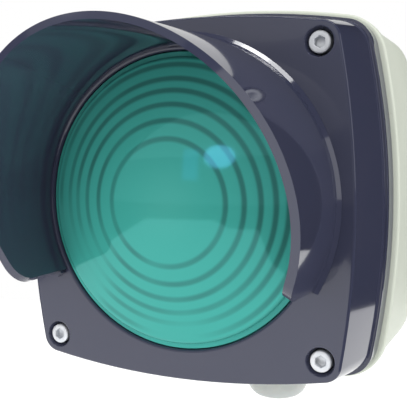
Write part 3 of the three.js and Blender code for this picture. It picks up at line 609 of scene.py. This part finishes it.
# ---------------------------------------------------------------- visor
def make_visor():
    """A tube standing on the cover, cut off aslant in front and level at the bottom."""
    bm = bmesh.new()
    start = math.radians(-34)
    steps = 180
    toward = Vector((math.cos(start), 0, math.sin(start)))
    root = bm.verts.new(toward * (VISOR_OUTER + VISOR_DRAFT) + Vector((0, FRONT + 0.2 * MM, 0)))
    tip = bm.verts.new(toward * VISOR_OUTER + Vector((0, FRONT - VISOR_TOP - 0.2 * MM, 0)))
    line = bm.edges.new((root, tip))
    bmesh.ops.subdivide_edges(bm, edges=[line], cuts=5)
    bmesh.ops.spin(
        bm, geom=bm.verts[:] + bm.edges[:], cent=(0, FRONT, 0), axis=(0, -1, 0),
        angle=math.pi - 2 * start, steps=steps,
    )
    rim = Vector((0, -math.cos(VISOR_TILT), -math.sin(VISOR_TILT)))
    top = Vector((0, FRONT - VISOR_TOP + 0.02 * MM, VISOR_OUTER))
    rim_at_low = top.y + (top.z - VISOR_LOW) * math.tan(VISOR_TILT)
    corner = Vector((
        0,
        rim_at_low + VISOR_CORNER * (1 - math.sin(VISOR_TILT)) / math.cos(VISOR_TILT),
        VISOR_LOW + VISOR_CORNER,
    ))
    cuts = 9
    for cut in range(cuts + 1):
        lean = VISOR_TILT + (math.pi / 2 - VISOR_TILT) * cut / cuts
        away = Vector((0, -math.cos(lean), -math.sin(lean)))
        bmesh.ops.bisect_plane(
            bm, geom=bm.verts[:] + bm.edges[:] + bm.faces[:], plane_co=corner + away * VISOR_CORNER,
            plane_no=away, clear_outer=True,
        )
    bmesh.ops.recalc_face_normals(bm, faces=bm.faces[:])
    bm.faces.ensure_lookup_table()
    face = bm.faces[0]
    if face.normal.dot(face.calc_center_median() * Vector((1, 0, 1))) < 0:
        bmesh.ops.reverse_faces(bm, faces=bm.faces[:])
    mesh = bpy.data.meshes.new("visor_hood")
    bm.to_mesh(mesh)
    bm.free()
    mesh.materials.append(BLACK)
    mesh.shade_smooth()
    hood = bpy.data.objects.new("visor_hood", mesh)
    scene.collection.objects.link(hood)
    thickest = VISOR_WALL + VISOR_DRAFT
    taper = hood.vertex_groups.new(name="wall_taper")
    for vert in mesh.vertices:
        from_rim = (vert.co.y - FRONT + VISOR_TOP) / VISOR_TOP
        here = VISOR_WALL + VISOR_DRAFT * min(max(from_rim, 0), 1)
        taper.add([vert.index], here / thickest, "REPLACE")
    wall = hood.modifiers.new("wall", "SOLIDIFY")
    wall.thickness = thickest
    wall.vertex_group = taper.name
    wall.offset = -1
    edge = hood.modifiers.new("edges", "BEVEL")
    edge.width = 0.7 * MM
    edge.segments = 3
    edge.limit_method = "ANGLE"
    edge.angle_limit = math.radians(50)
    edge.harden_normals = True
    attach(hood, "cover")
    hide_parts("visor")


def make_visor_foot():
    """The flange and hollow where the visor stands on the cover."""
    bm = bmesh.new()
    inner = VISOR_OUTER - 1 * MM
    root = VISOR_OUTER + VISOR_DRAFT
    outer = VISOR_OUTER + VISOR_FOOT
    profile = rounded([
        (inner, 0.3 * MM),
        (inner, -VISOR_FOOT),
        (root - 0.2 * MM, -VISOR_FOOT),
        (root - 0.1 * MM, -1.9 * MM, 0.8 * MM),
        (outer, -0.4 * MM, 0.3 * MM),
        (outer, 0.3 * MM),
    ], 6)
    start = math.asin(VISOR_LOW / VISOR_OUTER)
    lathe(bm, profile, place_at(0, FRONT, 0), 150, math.pi - 2 * start, start)
    piece("visor_foot", bm, "cover", BLACK)


# ---------------------------------------------------------------- lens
def dome_depth(radius, wall=0.0):
    """Depth of the lens's domed face, or of a surface `wall` behind it, at a radius."""
    edge = OPENING_NARROW - LENS_GAP - LENS_STEP_WIDTH - LENS_SHOULDER_ROUND
    shoulder = LENS_STEP_SINK - LENS_SHOULDER
    rise = math.sqrt(DOME_RADIUS**2 - radius**2) - math.sqrt(DOME_RADIUS**2 - edge**2)
    return shoulder - rise + wall


def make_lens():
    step_outer = OPENING_NARROW - LENS_GAP
    dome_edge = step_outer - LENS_STEP_WIDTH
    base = dome_edge - LENS_SHOULDER_ROUND
    steps = 28
    profile = [(base * i / steps, dome_depth(base * i / steps)) for i in range(steps + 1)]
    profile += [
        (
            base + LENS_SHOULDER_ROUND * math.sin(math.pi / 2 * i / 6),
            dome_depth(base) + LENS_SHOULDER_ROUND * (1 - math.cos(math.pi / 2 * i / 6)),
        )
        for i in range(1, 7)
    ]
    back = LENS_BACK_DEPTH
    profile += rounded([
        (dome_edge, dome_depth(base) + LENS_SHOULDER_ROUND),
        (dome_edge, LENS_STEP_SINK, 0.25 * MM),
        (step_outer, LENS_STEP_SINK, 0.4 * MM),
        (step_outer, LENS_FLANGE_DEPTH, 0.3 * MM),
        (LENS_FLANGE, LENS_FLANGE_DEPTH, 0.3 * MM),
        (LENS_FLANGE, back, 0.3 * MM),
        (dome_edge - LENS_WALL, back, 0.4 * MM),
        (dome_edge - LENS_WALL, dome_depth(base, LENS_WALL + RIB_HEIGHT), 0.6 * MM),
        (dome_edge - LENS_WALL - 2 * MM, dome_depth(base, LENS_WALL + RIB_HEIGHT)),
    ], 3)[1:]
    for radius in (r * MM for r in RING_RADII):
        profile += [
            (radius, dome_depth(radius, LENS_WALL + RIB_HEIGHT)),
            (radius - 0.3 * MM, dome_depth(radius, LENS_WALL)),
        ]
    profile += [(0, dome_depth(0, LENS_WALL + 0.4 * MM))]
    turned("lens_moulding", "lens", "cover", GREEN, profile, place_at(0, FRONT, 0), 160)


# ---------------------------------------------------------------- rear housing
def housing_loop(bm, inset, depth):
    corner = max(HOUSING_CORNER - inset, 2 * MM)
    return bowed_square(bm, RIM_HALF - inset, HOUSING_BOW - inset, corner, FRONT + depth)


def make_housing():
    bm = bmesh.new()
    beyond, wall, rim_inner, groove_floor = 10, 4, 6.6, 40.9
    shell = rounded(in_mm([
        (beyond, HOUSING_FLOOR), (wall, HOUSING_FLOOR, 1.5), (wall, RIM_END, 0.3),
        (rim_inner, RIM_END, 0.4), (rim_inner, RIM_START, 0.4), (GROOVE_INNER, RIM_START),
        (GROOVE_INNER, groove_floor), (GROOVE_OUTER, groove_floor), (GROOVE_OUTER, RIM_START),
        (0, RIM_START, 1.2), (0, RIM_END, 0.9), (1, RIM_END, 0.3), (1, HOUSING_DEPTH, 2),
        (beyond, HOUSING_DEPTH),
    ]))[1:-1]
    floor, back = skin(bm, [housing_loop(bm, inset, depth) for inset, depth in staggered(shell)])
    holes = []
    sunk, mouth, mouth_start, collar_start, collar = 96.9, 3.6, 99.6, 94, 6
    for x, z in WALL_HOLE_PLACES:
        hole = in_mm([(WALL_HOLE, HOUSING_FLOOR), (WALL_HOLE, mouth_start), (mouth, HOUSING_DEPTH)])
        holes.append(skin(bm, [
            circle(bm, radius, x * MM, FRONT + depth, z * MM, 32) for radius, depth in hole
        ]))
        ring = rounded(in_mm([
            (WALL_HOLE, collar_start, 0.3), (collar, collar_start, 0.5), (collar, sunk), (WALL_HOLE, sunk)
        ]))
        lathe(bm, ring, place_at(x * MM, FRONT, z * MM), 32)
    cap(bm, floor, *(hole[0] for hole in holes))
    cap(bm, back, *(hole[1] for hole in holes))
    boss, boss_bore, bore_end, in_floor = 7, 4, 57, 97
    boss = rounded(in_mm([
        (boss_bore, RIM_START, 0.4), (boss, RIM_START, 0.4), (boss, in_floor), (0, in_floor),
        (0, bore_end), (boss_bore, bore_end),
    ]))
    for place in SCREW_PLACES:
        lathe(bm, boss, place_at(place.x, FRONT, place.z), 36)
    post, post_bore, post_top, bore_end = 4, 1.8, 87.6, 94.6
    post = rounded(in_mm([
        (post_bore, post_top), (post, post_top, 0.4), (post, in_floor), (0, in_floor), (0, bore_end),
        (post_bore, bore_end),
    ]))
    for side in (-1, 1):
        lathe(bm, post, place_at(side * POST_X * MM, FRONT, 0), 28)
    pad_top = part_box("gland_lock_nut")[0].z / MM - 0.3
    pad_bore, pad_edge, pad_foot = 10.3, 17, -80
    pad = rounded(in_mm([
        (pad_bore, pad_foot), (pad_edge, pad_foot), (pad_edge, pad_top, 0.4), (pad_bore, pad_top)
    ]))
    lathe(bm, pad, upright_at(GLAND.x, GLAND.y), 48)
    piece("housing_moulding", bm, "base", GREY, ["rear_housing"])


def make_housing_gasket():
    bm = bmesh.new()
    cord = rounded(in_mm([(3.2, 39.4, 0.5), (3.2, 40.6), (4.6, 40.55), (4.6, 39.45, 0.5)]))
    loops = [housing_loop(bm, inset, depth) for inset, depth in staggered(cord)]
    skin(bm, loops + loops[:1])
    piece("housing_seal", bm, "base", RUBBER, ["housing_gasket"])


# ---------------------------------------------------------------- cover screws
def make_cover_screw(i, place):
    """A socket-head cap screw with a rolled thread."""
    bm = bmesh.new()
    at = place_at(place.x, FRONT, place.z)
    across_flats = 4
    hexagon = across_flats / math.sqrt(3)
    socket = [(hexagon + 0.25, 0.4), (hexagon, 0.65), (hexagon, 2.9), (hexagon * 0.6, 3.4)]
    hex_loops = [circle(bm, r * MM, place.x, FRONT + d * MM, place.z, 6) for r, d in socket]
    top = skin(bm, hex_loops)[0]
    bmesh.ops.edgeloop_fill(bm, edges=hex_loops[-1])
    top_face, head_end, shank, shank_end, core, thread_end, tip = 0.4, 5.4, 2.4, 32, 2.1, 52.9, 53.4
    body = rounded(in_mm([
        (3, top_face), (SCREW_HEAD, top_face, 0.55), (SCREW_HEAD, head_end, 0.2),
        (shank, head_end, 0.2), (shank, shank_end), (core, shank_end + 0.3), (core, thread_end),
        (1.6, tip),
    ]))[1:]
    rings = [
        circle(bm, radius, place.x, FRONT + depth, place.z, 48) for radius, depth in staggered(body)
    ]
    bmesh.ops.edgeloop_fill(bm, edges=rings[-1])
    cap(bm, skin(bm, rings)[0], top)
    root = core - 0.1
    ridge = in_mm([(root, 32.2), (shank, 32.55), (shank, 32.65), (root, 33.0)])
    turns, pitch, steps_a_turn = 24, 0.8 * MM, 20
    lathe(bm, ridge, at, steps_a_turn * turns, 2 * math.pi * turns, 0.0, pitch * turns)
    piece(f"socket_screw_{i}", bm, f"cover_screw_{i}_body", ZINC, [f"cover_screw_{i}"])


# ---------------------------------------------------------------- cable gland
GLAND = centre_of("gland_dome_nut")


def make_gland():
    at = upright_at(GLAND.x, GLAND.y)
    bottom, top = (corner.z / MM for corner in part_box("gland_dome_nut"))
    skirt, dome_height, mouth, crown_wall, bore = 4.1, 8, 5.4, 1.8, GLAND_THREAD + 0.3
    nut = [(bore, top), (NUT_ROUND, top, 0.5), (NUT_ROUND, top - skirt)]
    steps = 12
    for i in range(1, steps):
        angle = math.pi / 2 * i / steps
        nut.append((
            NUT_CROWN + (NUT_ROUND - NUT_CROWN) * math.cos(angle),
            top - skirt - dome_height * math.sin(angle),
        ))
    nut += [
        (NUT_CROWN, bottom), (mouth, bottom, 0.5), (mouth, bottom + crown_wall, 0.3),
        (bore, bottom + crown_wall),
    ]
    bm = bmesh.new()
    lathe(bm, rounded(in_mm(nut)), at, 144)
    flat, turn = 13.85 * MM, 0.2
    for face in range(6):
        away = Matrix.Rotation(face * math.pi / 3 + turn, 3, "Z") @ Vector((1, 0, 0))
        for vert in bm.verts:
            past = (vert.co - Vector((GLAND.x, GLAND.y, 0))).dot(away) - flat
            if past > 0:
                vert.co -= away * past
    piece("gland_nut", bm, "dome_nut", NYLON, ["gland_dome_nut"], 30)

    flange_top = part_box("gland_seal")[0].z / MM - 0.3
    flange_bottom = top + 0.3
    low, high = (corner.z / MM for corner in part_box("gland_body"))
    tube = rounded(in_mm([
        (6.5, high, 0.4), (GLAND_THREAD, high, 0.5), (GLAND_THREAD, flange_top),
        (GLAND_FLANGE, flange_top, 0.3), (GLAND_FLANGE, flange_bottom, 0.3),
        (GLAND_THREAD, flange_bottom), (GLAND_THREAD, low, 0.5), (7.5, low), (6.5, low + 1),
    ]))
    bm = bmesh.new()
    lathe(bm, tube, at, 96)
    turns, pitch, crest = 6, 1.5 * MM, GLAND_THREAD + 0.25
    ridge = in_mm([(9.8, -78.5), (crest, -78.2), (crest, -78.1), (9.8, -77.8)])
    lathe(bm, ridge, at, 48 * turns, 2 * math.pi * turns, 0.0, pitch * turns)
    piece("gland_tube", bm, "base", NYLON, ["gland_body"])

    low, high = (corner.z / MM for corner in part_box("gland_seal"))
    ring = rounded(in_mm([
        (bore, low, 0.3), (GLAND_FLANGE, low, 0.5), (GLAND_FLANGE, high, 0.5), (bore, high, 0.3)
    ]))
    turned("gland_washer", "gland_seal", "base", RUBBER, ring, at)
    low, high = (corner.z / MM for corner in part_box("gland_grommet"))
    sleeve = rounded(in_mm([(4, low, 0.4), (8.5, low, 0.3), (8.5, high, 0.3), (4, high, 0.6)]))
    turned("gland_sleeve", "gland_grommet", "base", RUBBER, sleeve, at)

    low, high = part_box("gland_lock_nut")
    bm = bmesh.new()
    centre = centre_of("gland_lock_nut")
    outer = 27 * MM / math.sqrt(3)
    cut, rise = 0.9 * MM, 0.7 * MM
    stations = [
        (outer - cut, low.z), (outer, low.z + rise), (outer, high.z - rise), (outer - cut, high.z)
    ]
    outside = skin(bm, [hexagon_loop(bm, radius, centre, z, 6) for radius, z in stations])
    inside = skin(bm, [hexagon_loop(bm, 10.35 * MM, centre, z, 48) for z in (low.z, high.z)])
    cap(bm, outside[0], inside[0])
    cap(bm, outside[1], inside[1])
    piece("gland_lock_ring", bm, "base", NYLON, ["gland_lock_nut"])


def hexagon_loop(bm, radius, centre, z, segments):
    """A level closed loop, or a hexagon with flats to the front and back."""
    made = bmesh.ops.create_circle(
        bm, segments=segments, radius=radius,
        matrix=Matrix.Translation((centre.x, centre.y, z)) @ Matrix.Rotation(math.pi / 6, 4, "Z"),
    )
    return list({edge for vert in made["verts"] for edge in vert.link_edges})


# ---------------------------------------------------------------- seals, clamp and inserts
def make_seals_and_inserts():
    axis = place_at(0, FRONT, 0)
    ring = rounded(in_mm([(66.3, 3.5, 0.5), (70.7, 3.5, 0.5), (70.7, 5.5, 0.5), (66.3, 5.5, 0.5)]))
    turned("lens_seal", "lens_gasket", "cover", RUBBER, ring, axis, 120)
    for i, place in enumerate(SCREW_PLACES, 1):
        at = place_at(place.x, FRONT, place.z)
        washer = rounded(in_mm([(2.7, 5.7, 0.2), (4.8, 5.7, 0.3), (4.8, 6.7, 0.3), (2.7, 6.7, 0.2)]))
        node = f"cover_screw_seal_{i}"
        turned(f"screw_washer_{i}", node, "cover", RUBBER, washer, at, 32)
        insert = [(2.7, 40.1)]
        insert += [(3.7 if step % 2 else 3.45, 40.1 + step * 0.5) for step in range(1, 19)]
        insert += [(3.3, 50.1), (2.7, 50.1)]
        node = f"threaded_insert_{i}"
        turned(f"brass_insert_{i}", node, "base", BRASS, in_mm(insert), at, 24)


def make_clamp():
    bm = bmesh.new()
    ring = rounded(in_mm([(61.7, 8.6, 0.3), (70.7, 8.6, 0.3), (70.7, 11.1, 0.5), (61.7, 11.1, 0.5)]))
    lathe(bm, ring, place_at(0, FRONT, 0), 120)
    for i in range(1, 5):
        place = centre_of(f"lens_clamp_screw_{i}")
        ear = rounded(in_mm([(1.55, 8.65), (3.4, 8.65, 0.2), (3.4, 11.05, 0.4), (1.55, 11.05, 0.2)]))
        lathe(bm, ear, place_at(place.x, FRONT, place.z), 32)
        away = math.atan2(place.z, place.x)
        before = set(bm.verts)
        reach = Vector((place.x, 0, place.z)).length
        near = (69 * MM, FRONT + 8.75 * MM, -2.6 * MM)
        box(bm, near, (reach - 2 * MM, FRONT + 10.9 * MM, 2.6 * MM), 0.2 * MM)
        new = [vert for vert in bm.verts if vert not in before]
        bmesh.ops.rotate(bm, verts=new, cent=(0, 0, 0), matrix=Matrix.Rotation(-away, 3, "Y"))
        make_pan_screw(f"clamp_screw_{i}", f"lens_clamp_screw_{i}", "cover", place, 1)
    piece("lens_clamp", bm, "cover", NYLON, ["lens_clamp_ring"])


def make_pan_screw(name, node, body, place, facing):
    """A slotted pan-head screw; facing is 1 where its head looks back and -1 to the front."""
    bm = bmesh.new()
    low, high = (corner.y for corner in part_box(node))
    head_end, tip = (high, low) if facing > 0 else (low, high)
    span = (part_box(node)[1].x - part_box(node)[0].x) / 2
    small = span < 2.85 * MM
    shank = 1.25 * MM if small else 1.5 * MM
    height = 1.9 * MM if small else 2 * MM
    along = (tip - head_end) / abs(tip - head_end)
    at = place_at(place.x, head_end, place.z) @ Matrix.Diagonal((1, along, 1, 1))
    length = abs(tip - head_end)
    profile = rounded([
        (0, 0), (span * 0.55, 0.02 * MM, 0.4 * MM), (span, height * 0.45, 0.4 * MM), (span, height),
        (shank, height), (shank, length - 0.6 * MM), (shank * 0.3, length), (0, length),
    ], 3)
    lathe(bm, profile, at, 28)
    half_slot = 0.45 * MM
    for side in (1, -1):
        bmesh.ops.bisect_plane(
            bm, geom=bm.verts[:] + bm.edges[:] + bm.faces[:],
            plane_co=(place.x, 0, place.z + side * half_slot), plane_no=(0, 0, side),
        )
    floor = head_end + along * height * 0.55
    for vert in bm.verts:
        in_slot = abs(vert.co.z - place.z) < half_slot - HAIR / 5
        if in_slot and (vert.co.y - floor) * along < 0:
            vert.co.y = floor
    piece(name, bm, body, ZINC, [node])


# ---------------------------------------------------------------- lamp
def make_reflector():
    low, high = (depth_of(corner.y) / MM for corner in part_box("reflector"))
    neck, mouth, front, back = 11.3, 57, low, 50
    inside = []
    steps = 22
    for i in range(steps + 1):
        radius = mouth + (neck - mouth) * i / steps
        share = (radius**2 - neck**2) / (mouth**2 - neck**2)
        inside.append((radius, back - (back - front) * share))
    outside = [(radius + 1, depth + 0.3) for radius, depth in inside]
    profile = [*inside, (neck, high), (neck + 1, high), *reversed(outside)]
    axis = place_at(0, FRONT, 0)
    turned("reflector_bowl", "reflector", "base", MIRROR, in_mm(profile), axis, 128)


def make_bulb():
    low, high = (depth_of(corner.y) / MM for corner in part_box("bulb_glass"))
    radius, neck = 12.5, 6.2
    centre = low + radius
    outside = []
    steps = 20
    last = math.pi - math.asin(neck / radius) - 0.25
    for i in range(steps + 1):
        angle = last * i / steps
        outside.append((radius * math.sin(angle), centre - radius * math.cos(angle)))
    outside += [(neck, high - 4.6), (neck, high - 0.5)]
    wall = 0.6
    inside = [(max(r - wall, 0), d + wall * math.cos(last * i / steps) if i <= steps else d)
              for i, (r, d) in enumerate(outside)]
    bm = bmesh.new()
    shell = [*outside, (neck - wall, high - 0.5), *reversed(inside[:-1])]
    shell[0] = (0, low)
    shell[-1] = (0, low + wall)
    lathe(bm, in_mm(shell), place_at(0, FRONT, 0), 64)
    piece("bulb_envelope", bm, "bulb", GLASS, ["bulb_glass"], 60)

    low, high = (depth_of(corner.y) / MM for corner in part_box("bulb_cap"))
    shell = rounded(in_mm([
        (6.3, low + 0.1, 0.15), (7.5, low, 0.4), (7.5, high - 2.5, 0.4), (7.0, high - 2.2),
        (6.6, high - 0.6, 0.4), (0, high - 0.4), (0, low + 5), (6.3, low + 5),
    ]))
    bm = bmesh.new()
    lathe(bm, shell, place_at(0, FRONT, 0), 64)
    for side in (-1, 1):
        lathe(bm, rounded(in_mm([(0, high - 1), (1.4, high - 1), (1.4, high, 0.4), (0, high)])),
              place_at(side * CONTACT_X * MM, FRONT, 0), 20)
    piece("bayonet_cap", bm, "bulb", BRASS, ["bulb_cap"])


def wire(name, points, radius, body, finish, nodes=()):
    """A round wire through points given in millimetres."""
    curve = bpy.data.curves.new(name, "CURVE")
    curve.dimensions = "3D"
    curve.bevel_depth = radius
    curve.bevel_resolution = 5
    curve.use_fill_caps = True
    curve.resolution_u = 10
    spline = curve.splines.new("BEZIER")
    spline.bezier_points.add(len(points) - 1)
    for knot, point in zip(spline.bezier_points, points):
        knot.co = Vector(point) * MM
        knot.handle_left_type = "AUTO"
        knot.handle_right_type = "AUTO"
    curve.materials.append(finish)
    made = bpy.data.objects.new(name, curve)
    scene.collection.objects.link(made)
    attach(made, body)
    if nodes:
        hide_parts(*nodes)


def make_filament():
    """Coiled filament on two supports inside the bulb."""
    middle = (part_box("bulb_glass")[0].y + 12.5 * MM) / MM
    turns = 9
    coil = [(-4, middle + 1.5, 0)]
    for i in range(turns * 6 + 1):
        angle = i * math.pi / 3
        coil.append((-3 + 6 * i / (turns * 6), middle + 0.7 * math.sin(angle), 0.7 * math.cos(angle)))
    coil.append((4, middle + 1.5, 0))
    wire("bulb_filament", coil, 0.12 * MM, "bulb", ZINC)
    for side, name in ((-1, "left"), (1, "right")):
        support = [
            (side * 4, middle + 1.2, 0), (side * 3.6, middle + 8, 0), (side * 2, middle + 17.5, 0)
        ]
        wire(f"filament_post_{name}", support, 0.25 * MM, "bulb", ZINC)


def make_holder():
    low, high = (depth_of(corner.y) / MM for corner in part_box("lamp_holder"))
    bm = bmesh.new()
    shell = rounded(in_mm([
        (7.8, low, 0.5), (11, low, 0.8), (11, low + 12, 0.3), (10.4, low + 12.6, 0.3),
        (10.4, high - 6, 0.3), (11, high - 5.4, 0.3), (11, high, 0.6), (0, high), (0, low + 17),
        (7.8, low + 17, 0.5),
    ]))
    lathe(bm, shell, place_at(0, FRONT, 0), 72)
    piece("bulb_holder", bm, "base", CREAM, ["lamp_holder"])
    for i, side in ((1, -1), (2, 1)):
        low, high = (depth_of(corner.y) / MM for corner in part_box(f"holder_contact_{i}"))
        pin = rounded(in_mm([(0, low), (1.3, low, 0.5), (1.3, high, 0.2), (0, high)]))
        turned(f"contact_pin_{i}", f"holder_contact_{i}", "base", BRASS, pin,
               place_at(side * CONTACT_X * MM, FRONT, 0), 20)


def make_bracket():
    """A flat strip with a hole at each end and one in the middle."""
    low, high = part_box("lamp_bracket")
    bm = bmesh.new()
    loops = []
    for y in (low.y, high.y):
        outline = round_rectangle(bm, high.x, high.z, 3 * MM, y)
        holes = [circle(bm, 1.8 * MM, side * POST_X * MM, y, 0, 24) for side in (-1, 1)]
        holes.append(circle(bm, 4 * MM, 0, y, 0, 32))
        cap(bm, outline, *holes)
        loops.append([outline, *holes])
    for near, far in zip(*loops):
        bmesh.ops.bridge_loops(bm, edges=near + far)
    piece("holder_strip", bm, "base", ZINC, ["lamp_bracket"])
    for i, side in ((1, -1), (2, 1)):
        place = Vector((side * POST_X * MM, 0, 0))
        make_pan_screw(f"strip_screw_{i}", f"bracket_screw_{i}", "base", place, -1)


def round_rectangle(bm, half_x, half_z, corner, y):
    """A closed loop: a rectangle with round corners."""
    before = set(bm.edges)
    first = tip = None
    for turn, (sx, sz) in enumerate([(1, 1), (-1, 1), (-1, -1), (1, -1)]):
        centre = Vector((sx * (half_x - corner), y, sz * (half_z - corner)))
        outwards = Matrix.Rotation(-turn * math.pi / 2, 3, "Y") @ Vector((corner, 0, 0))
        start = bm.verts.new(centre + outwards)
        if tip:
            bm.edges.new((tip, start))
        first = first or start
        tip = arc(bm, start, centre, math.pi / 2, 6)
    bm.edges.new((tip, first))
    return [edge for edge in bm.edges if edge not in before]


# ---------------------------------------------------------------- terminals and leads
def make_terminals():
    low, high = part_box("terminal_block")
    bm = bmesh.new()
    centre = (low + high) / 2
    poles = [centre_of(f"terminal_screw_{i}") for i in (1, 2, 3)]
    box(bm, (low.x, low.y + 5 * MM, low.z), high, 0.5 * MM)
    for pole in poles:
        well = rounded(in_mm([(2.3, 0, 0.2), (3.6, 0, 0.5), (3.6, 6), (2.3, 6)]))
        lathe(bm, well, place_at(pole.x, low.y, pole.z), 28)
        box(bm, (pole.x - 3.4 * MM, low.y + 2.2 * MM, low.z + 0.4 * MM),
            (pole.x + 3.4 * MM, low.y + 6 * MM, centre.z - 2.8 * MM), 0.5 * MM)
        box(bm, (pole.x - 3.4 * MM, low.y + 2.2 * MM, centre.z + 2.8 * MM),
            (pole.x + 3.4 * MM, low.y + 6 * MM, high.z - 0.4 * MM), 0.5 * MM)
    for x in ((poles[0].x + poles[1].x) / 2, (poles[1].x + poles[2].x) / 2):
        near = (x - 0.7 * MM, low.y + 0.8 * MM, low.z)
        box(bm, near, (x + 0.7 * MM, low.y + 6 * MM, high.z), 0.3 * MM)
    piece("terminal_strip", bm, "base", CREAM, ["terminal_block"])
    for i, pole in enumerate(poles, 1):
        bm = bmesh.new()
        near, far = (corner.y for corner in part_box(f"terminal_screw_{i}"))
        box(bm, (pole.x - 1.9 * MM, near + 0.8 * MM, pole.z - 0.35 * MM),
            (pole.x + 1.9 * MM, near + 1 * MM, pole.z + 0.35 * MM))
        head = rounded(in_mm([(0, 0.9), (0.4, 0.9), (1.9, 0, 0.25), (1.9, 3.5), (0, 3.5)]))
        lathe(bm, head, place_at(pole.x, near, pole.z), 24)
        piece(f"clamp_head_{i}", bm, "base", BRASS, [f"terminal_screw_{i}"])
    for i in (1, 2):
        node = f"terminal_fixing_{i}"
        make_pan_screw(f"strip_fixing_{i}", node, "base", centre_of(node), -1)


def make_leads():
    """Two insulated leads from the terminals up to the back of the bulb holder."""
    for node, name, side, slot, finish in (
        ("lead_neutral", "neutral_lead", -1, "blue_lead", BLUE),
        ("lead_live", "live_lead", 1, "brown_lead", BROWN),
    ):
        start_x = -8 + side * 9
        end_x = side * 3.5
        front = FRONT / MM
        points = [
            (start_x, front + 91.2, -50), (start_x, front + 91.2, -42),
            ((start_x + end_x) / 2 + side * 2, front + 71.5, -28),
            (end_x, front + 77.5, -16), (end_x, front + 77.5, -8),
        ]
        wire(name, points, 1.1 * MM, "base", finish, [node])


# ---------------------------------------------------------------- studio
def make_panel(name, place, aim, size, radiance, colour=(1, 1, 1), shape="RECTANGLE", only=None):
    """A flat light that shines towards a point, and lights a single piece if one is named."""
    light = bpy.data.lights.new(name, "AREA")
    light.shape = shape
    light.size, light.size_y = size
    light.color = colour
    light.energy = radiance * math.pi * size[0] * size[1]
    panel = bpy.data.objects.new(name, light)
    scene.collection.objects.link(panel)
    panel.location = place
    panel.rotation_euler = (Vector(aim) - Vector(place)).to_track_quat("-Z", "Y").to_euler()
    panel.visible_camera = False
    if only:
        lit = bpy.data.collections.new(name + " falls on")
        lit.objects.link(bpy.data.objects[only])
        panel.light_linking.receiver_collection = lit
        panel.visible_diffuse = False


def make_studio():
    """A pale table in a white room, with a tube light overhead and a window in front."""
    world = bpy.data.worlds.new("studio")
    scene.world = world
    world.use_nodes = True
    world.node_tree.nodes["Background"].inputs["Color"].default_value = (1, 1, 1, 1)
    world.node_tree.nodes["Background"].inputs["Strength"].default_value = 1.0
    world.cycles_visibility.glossy = False

    pale = bpy.data.materials.new("pale table")
    pale.use_nodes = True
    shader = pale.node_tree.nodes["Principled BSDF"]
    shader.inputs["Base Color"].default_value = (0.9, 0.9, 0.9, 1)
    shader.inputs["Roughness"].default_value = 0.8
    shader.inputs["Emission Color"].default_value = (1, 1, 1, 1)
    shader.inputs["Emission Strength"].default_value = 0.22
    level = cad_low.z - 60 * MM
    outline = [
        (-0.64, -1.01), (-0.19, -1.11), (-0.07, -0.86), (0.063, -0.83), (0.075, -0.44),
        (0.26, 0.16), (0.24, 0.42), (0.05, 0.42), (-0.60, 0.34), (-0.38, -0.20),
    ]
    bm = bmesh.new()
    corners = [bm.verts.new((x, y, level)) for x, y in outline]
    edges = [bm.edges.new(pair) for pair in zip(corners, corners[1:] + corners[:1])]
    bmesh.ops.triangle_fill(bm, edges=edges, use_beauty=True)
    mesh = bpy.data.meshes.new("table")
    bm.to_mesh(mesh)
    bm.free()
    mesh.materials.append(pale)
    table = bpy.data.objects.new("table", mesh)
    scene.collection.objects.link(table)

    make_panel("ceiling tube", (0.02, -0.22, 1.0), (0.02, -0.2, 0), (1.1, 0.07), 12)
    make_panel("skylight", (0.31, -0.23, 1.0), (0.31, -0.2, 0), (0.6, 0.3), 9, only="visor_foot")
    make_panel("bright wall behind", (-0.5, 1.2, 0.62), (-0.1, 0, 0.1), (1.1, 0.9), 0.75)
    make_panel("dim wall in front", (-0.5, -1.5, 0.1), (-0.5, 0, 0.1), (2.2, 0.4), 0.35)
    make_panel("lighter wall in front", (-0.5, -1.5, 0.75), (-0.5, 0, 0.6), (2.2, 0.9), 0.8)
    make_panel("wall to the right", (1.5, -0.35, 0.35), (0, -0.1, 0), (0.9, 0.8), 1.4)
    blue = (0.45, 0.6, 1.0)
    lens = "lens_moulding"
    make_panel("window", (-0.155, -1.1, 0.205), (0, -0.1, 0), (0.19, 0.13), 4.8, blue, "ELLIPSE", lens)
    make_panel("dim pane", (-0.34, -1.1, 0.16), (0, -0.1, 0), (0.1, 0.18), 1.5, (0.07, 0.45, 1), only=lens)


def make_camera():
    """Camera a little above the middle, to the right, close to the cover."""
    data = bpy.data.cameras.new("camera")
    data.sensor_width = 36
    data.lens = 65.03
    data.clip_start = 0.01
    camera = bpy.data.objects.new("camera", data)
    scene.collection.objects.link(camera)
    right = Vector((0.90587, 0.42335, -0.01306))
    up = Vector((-0.01469, 0.06222, 0.99795))
    back = right.cross(up)
    camera.matrix_world = Matrix.Translation(Vector((136.89, -366.35, 17.92)) * MM) @ Matrix(
        (right, up, back)
    ).transposed().to_4x4()
    scene.camera = camera


make_cover()
make_visor()
make_visor_foot()
make_lens()
make_housing()
make_housing_gasket()
for number, screw_place in enumerate(SCREW_PLACES, 1):
    make_cover_screw(number, screw_place)
make_gland()
make_seals_and_inserts()
make_clamp()
make_reflector()
make_bulb()
make_filament()
make_holder()
make_bracket()
make_terminals()
make_leads()
make_studio()
make_camera()
scene.view_settings.view_transform = "Standard"
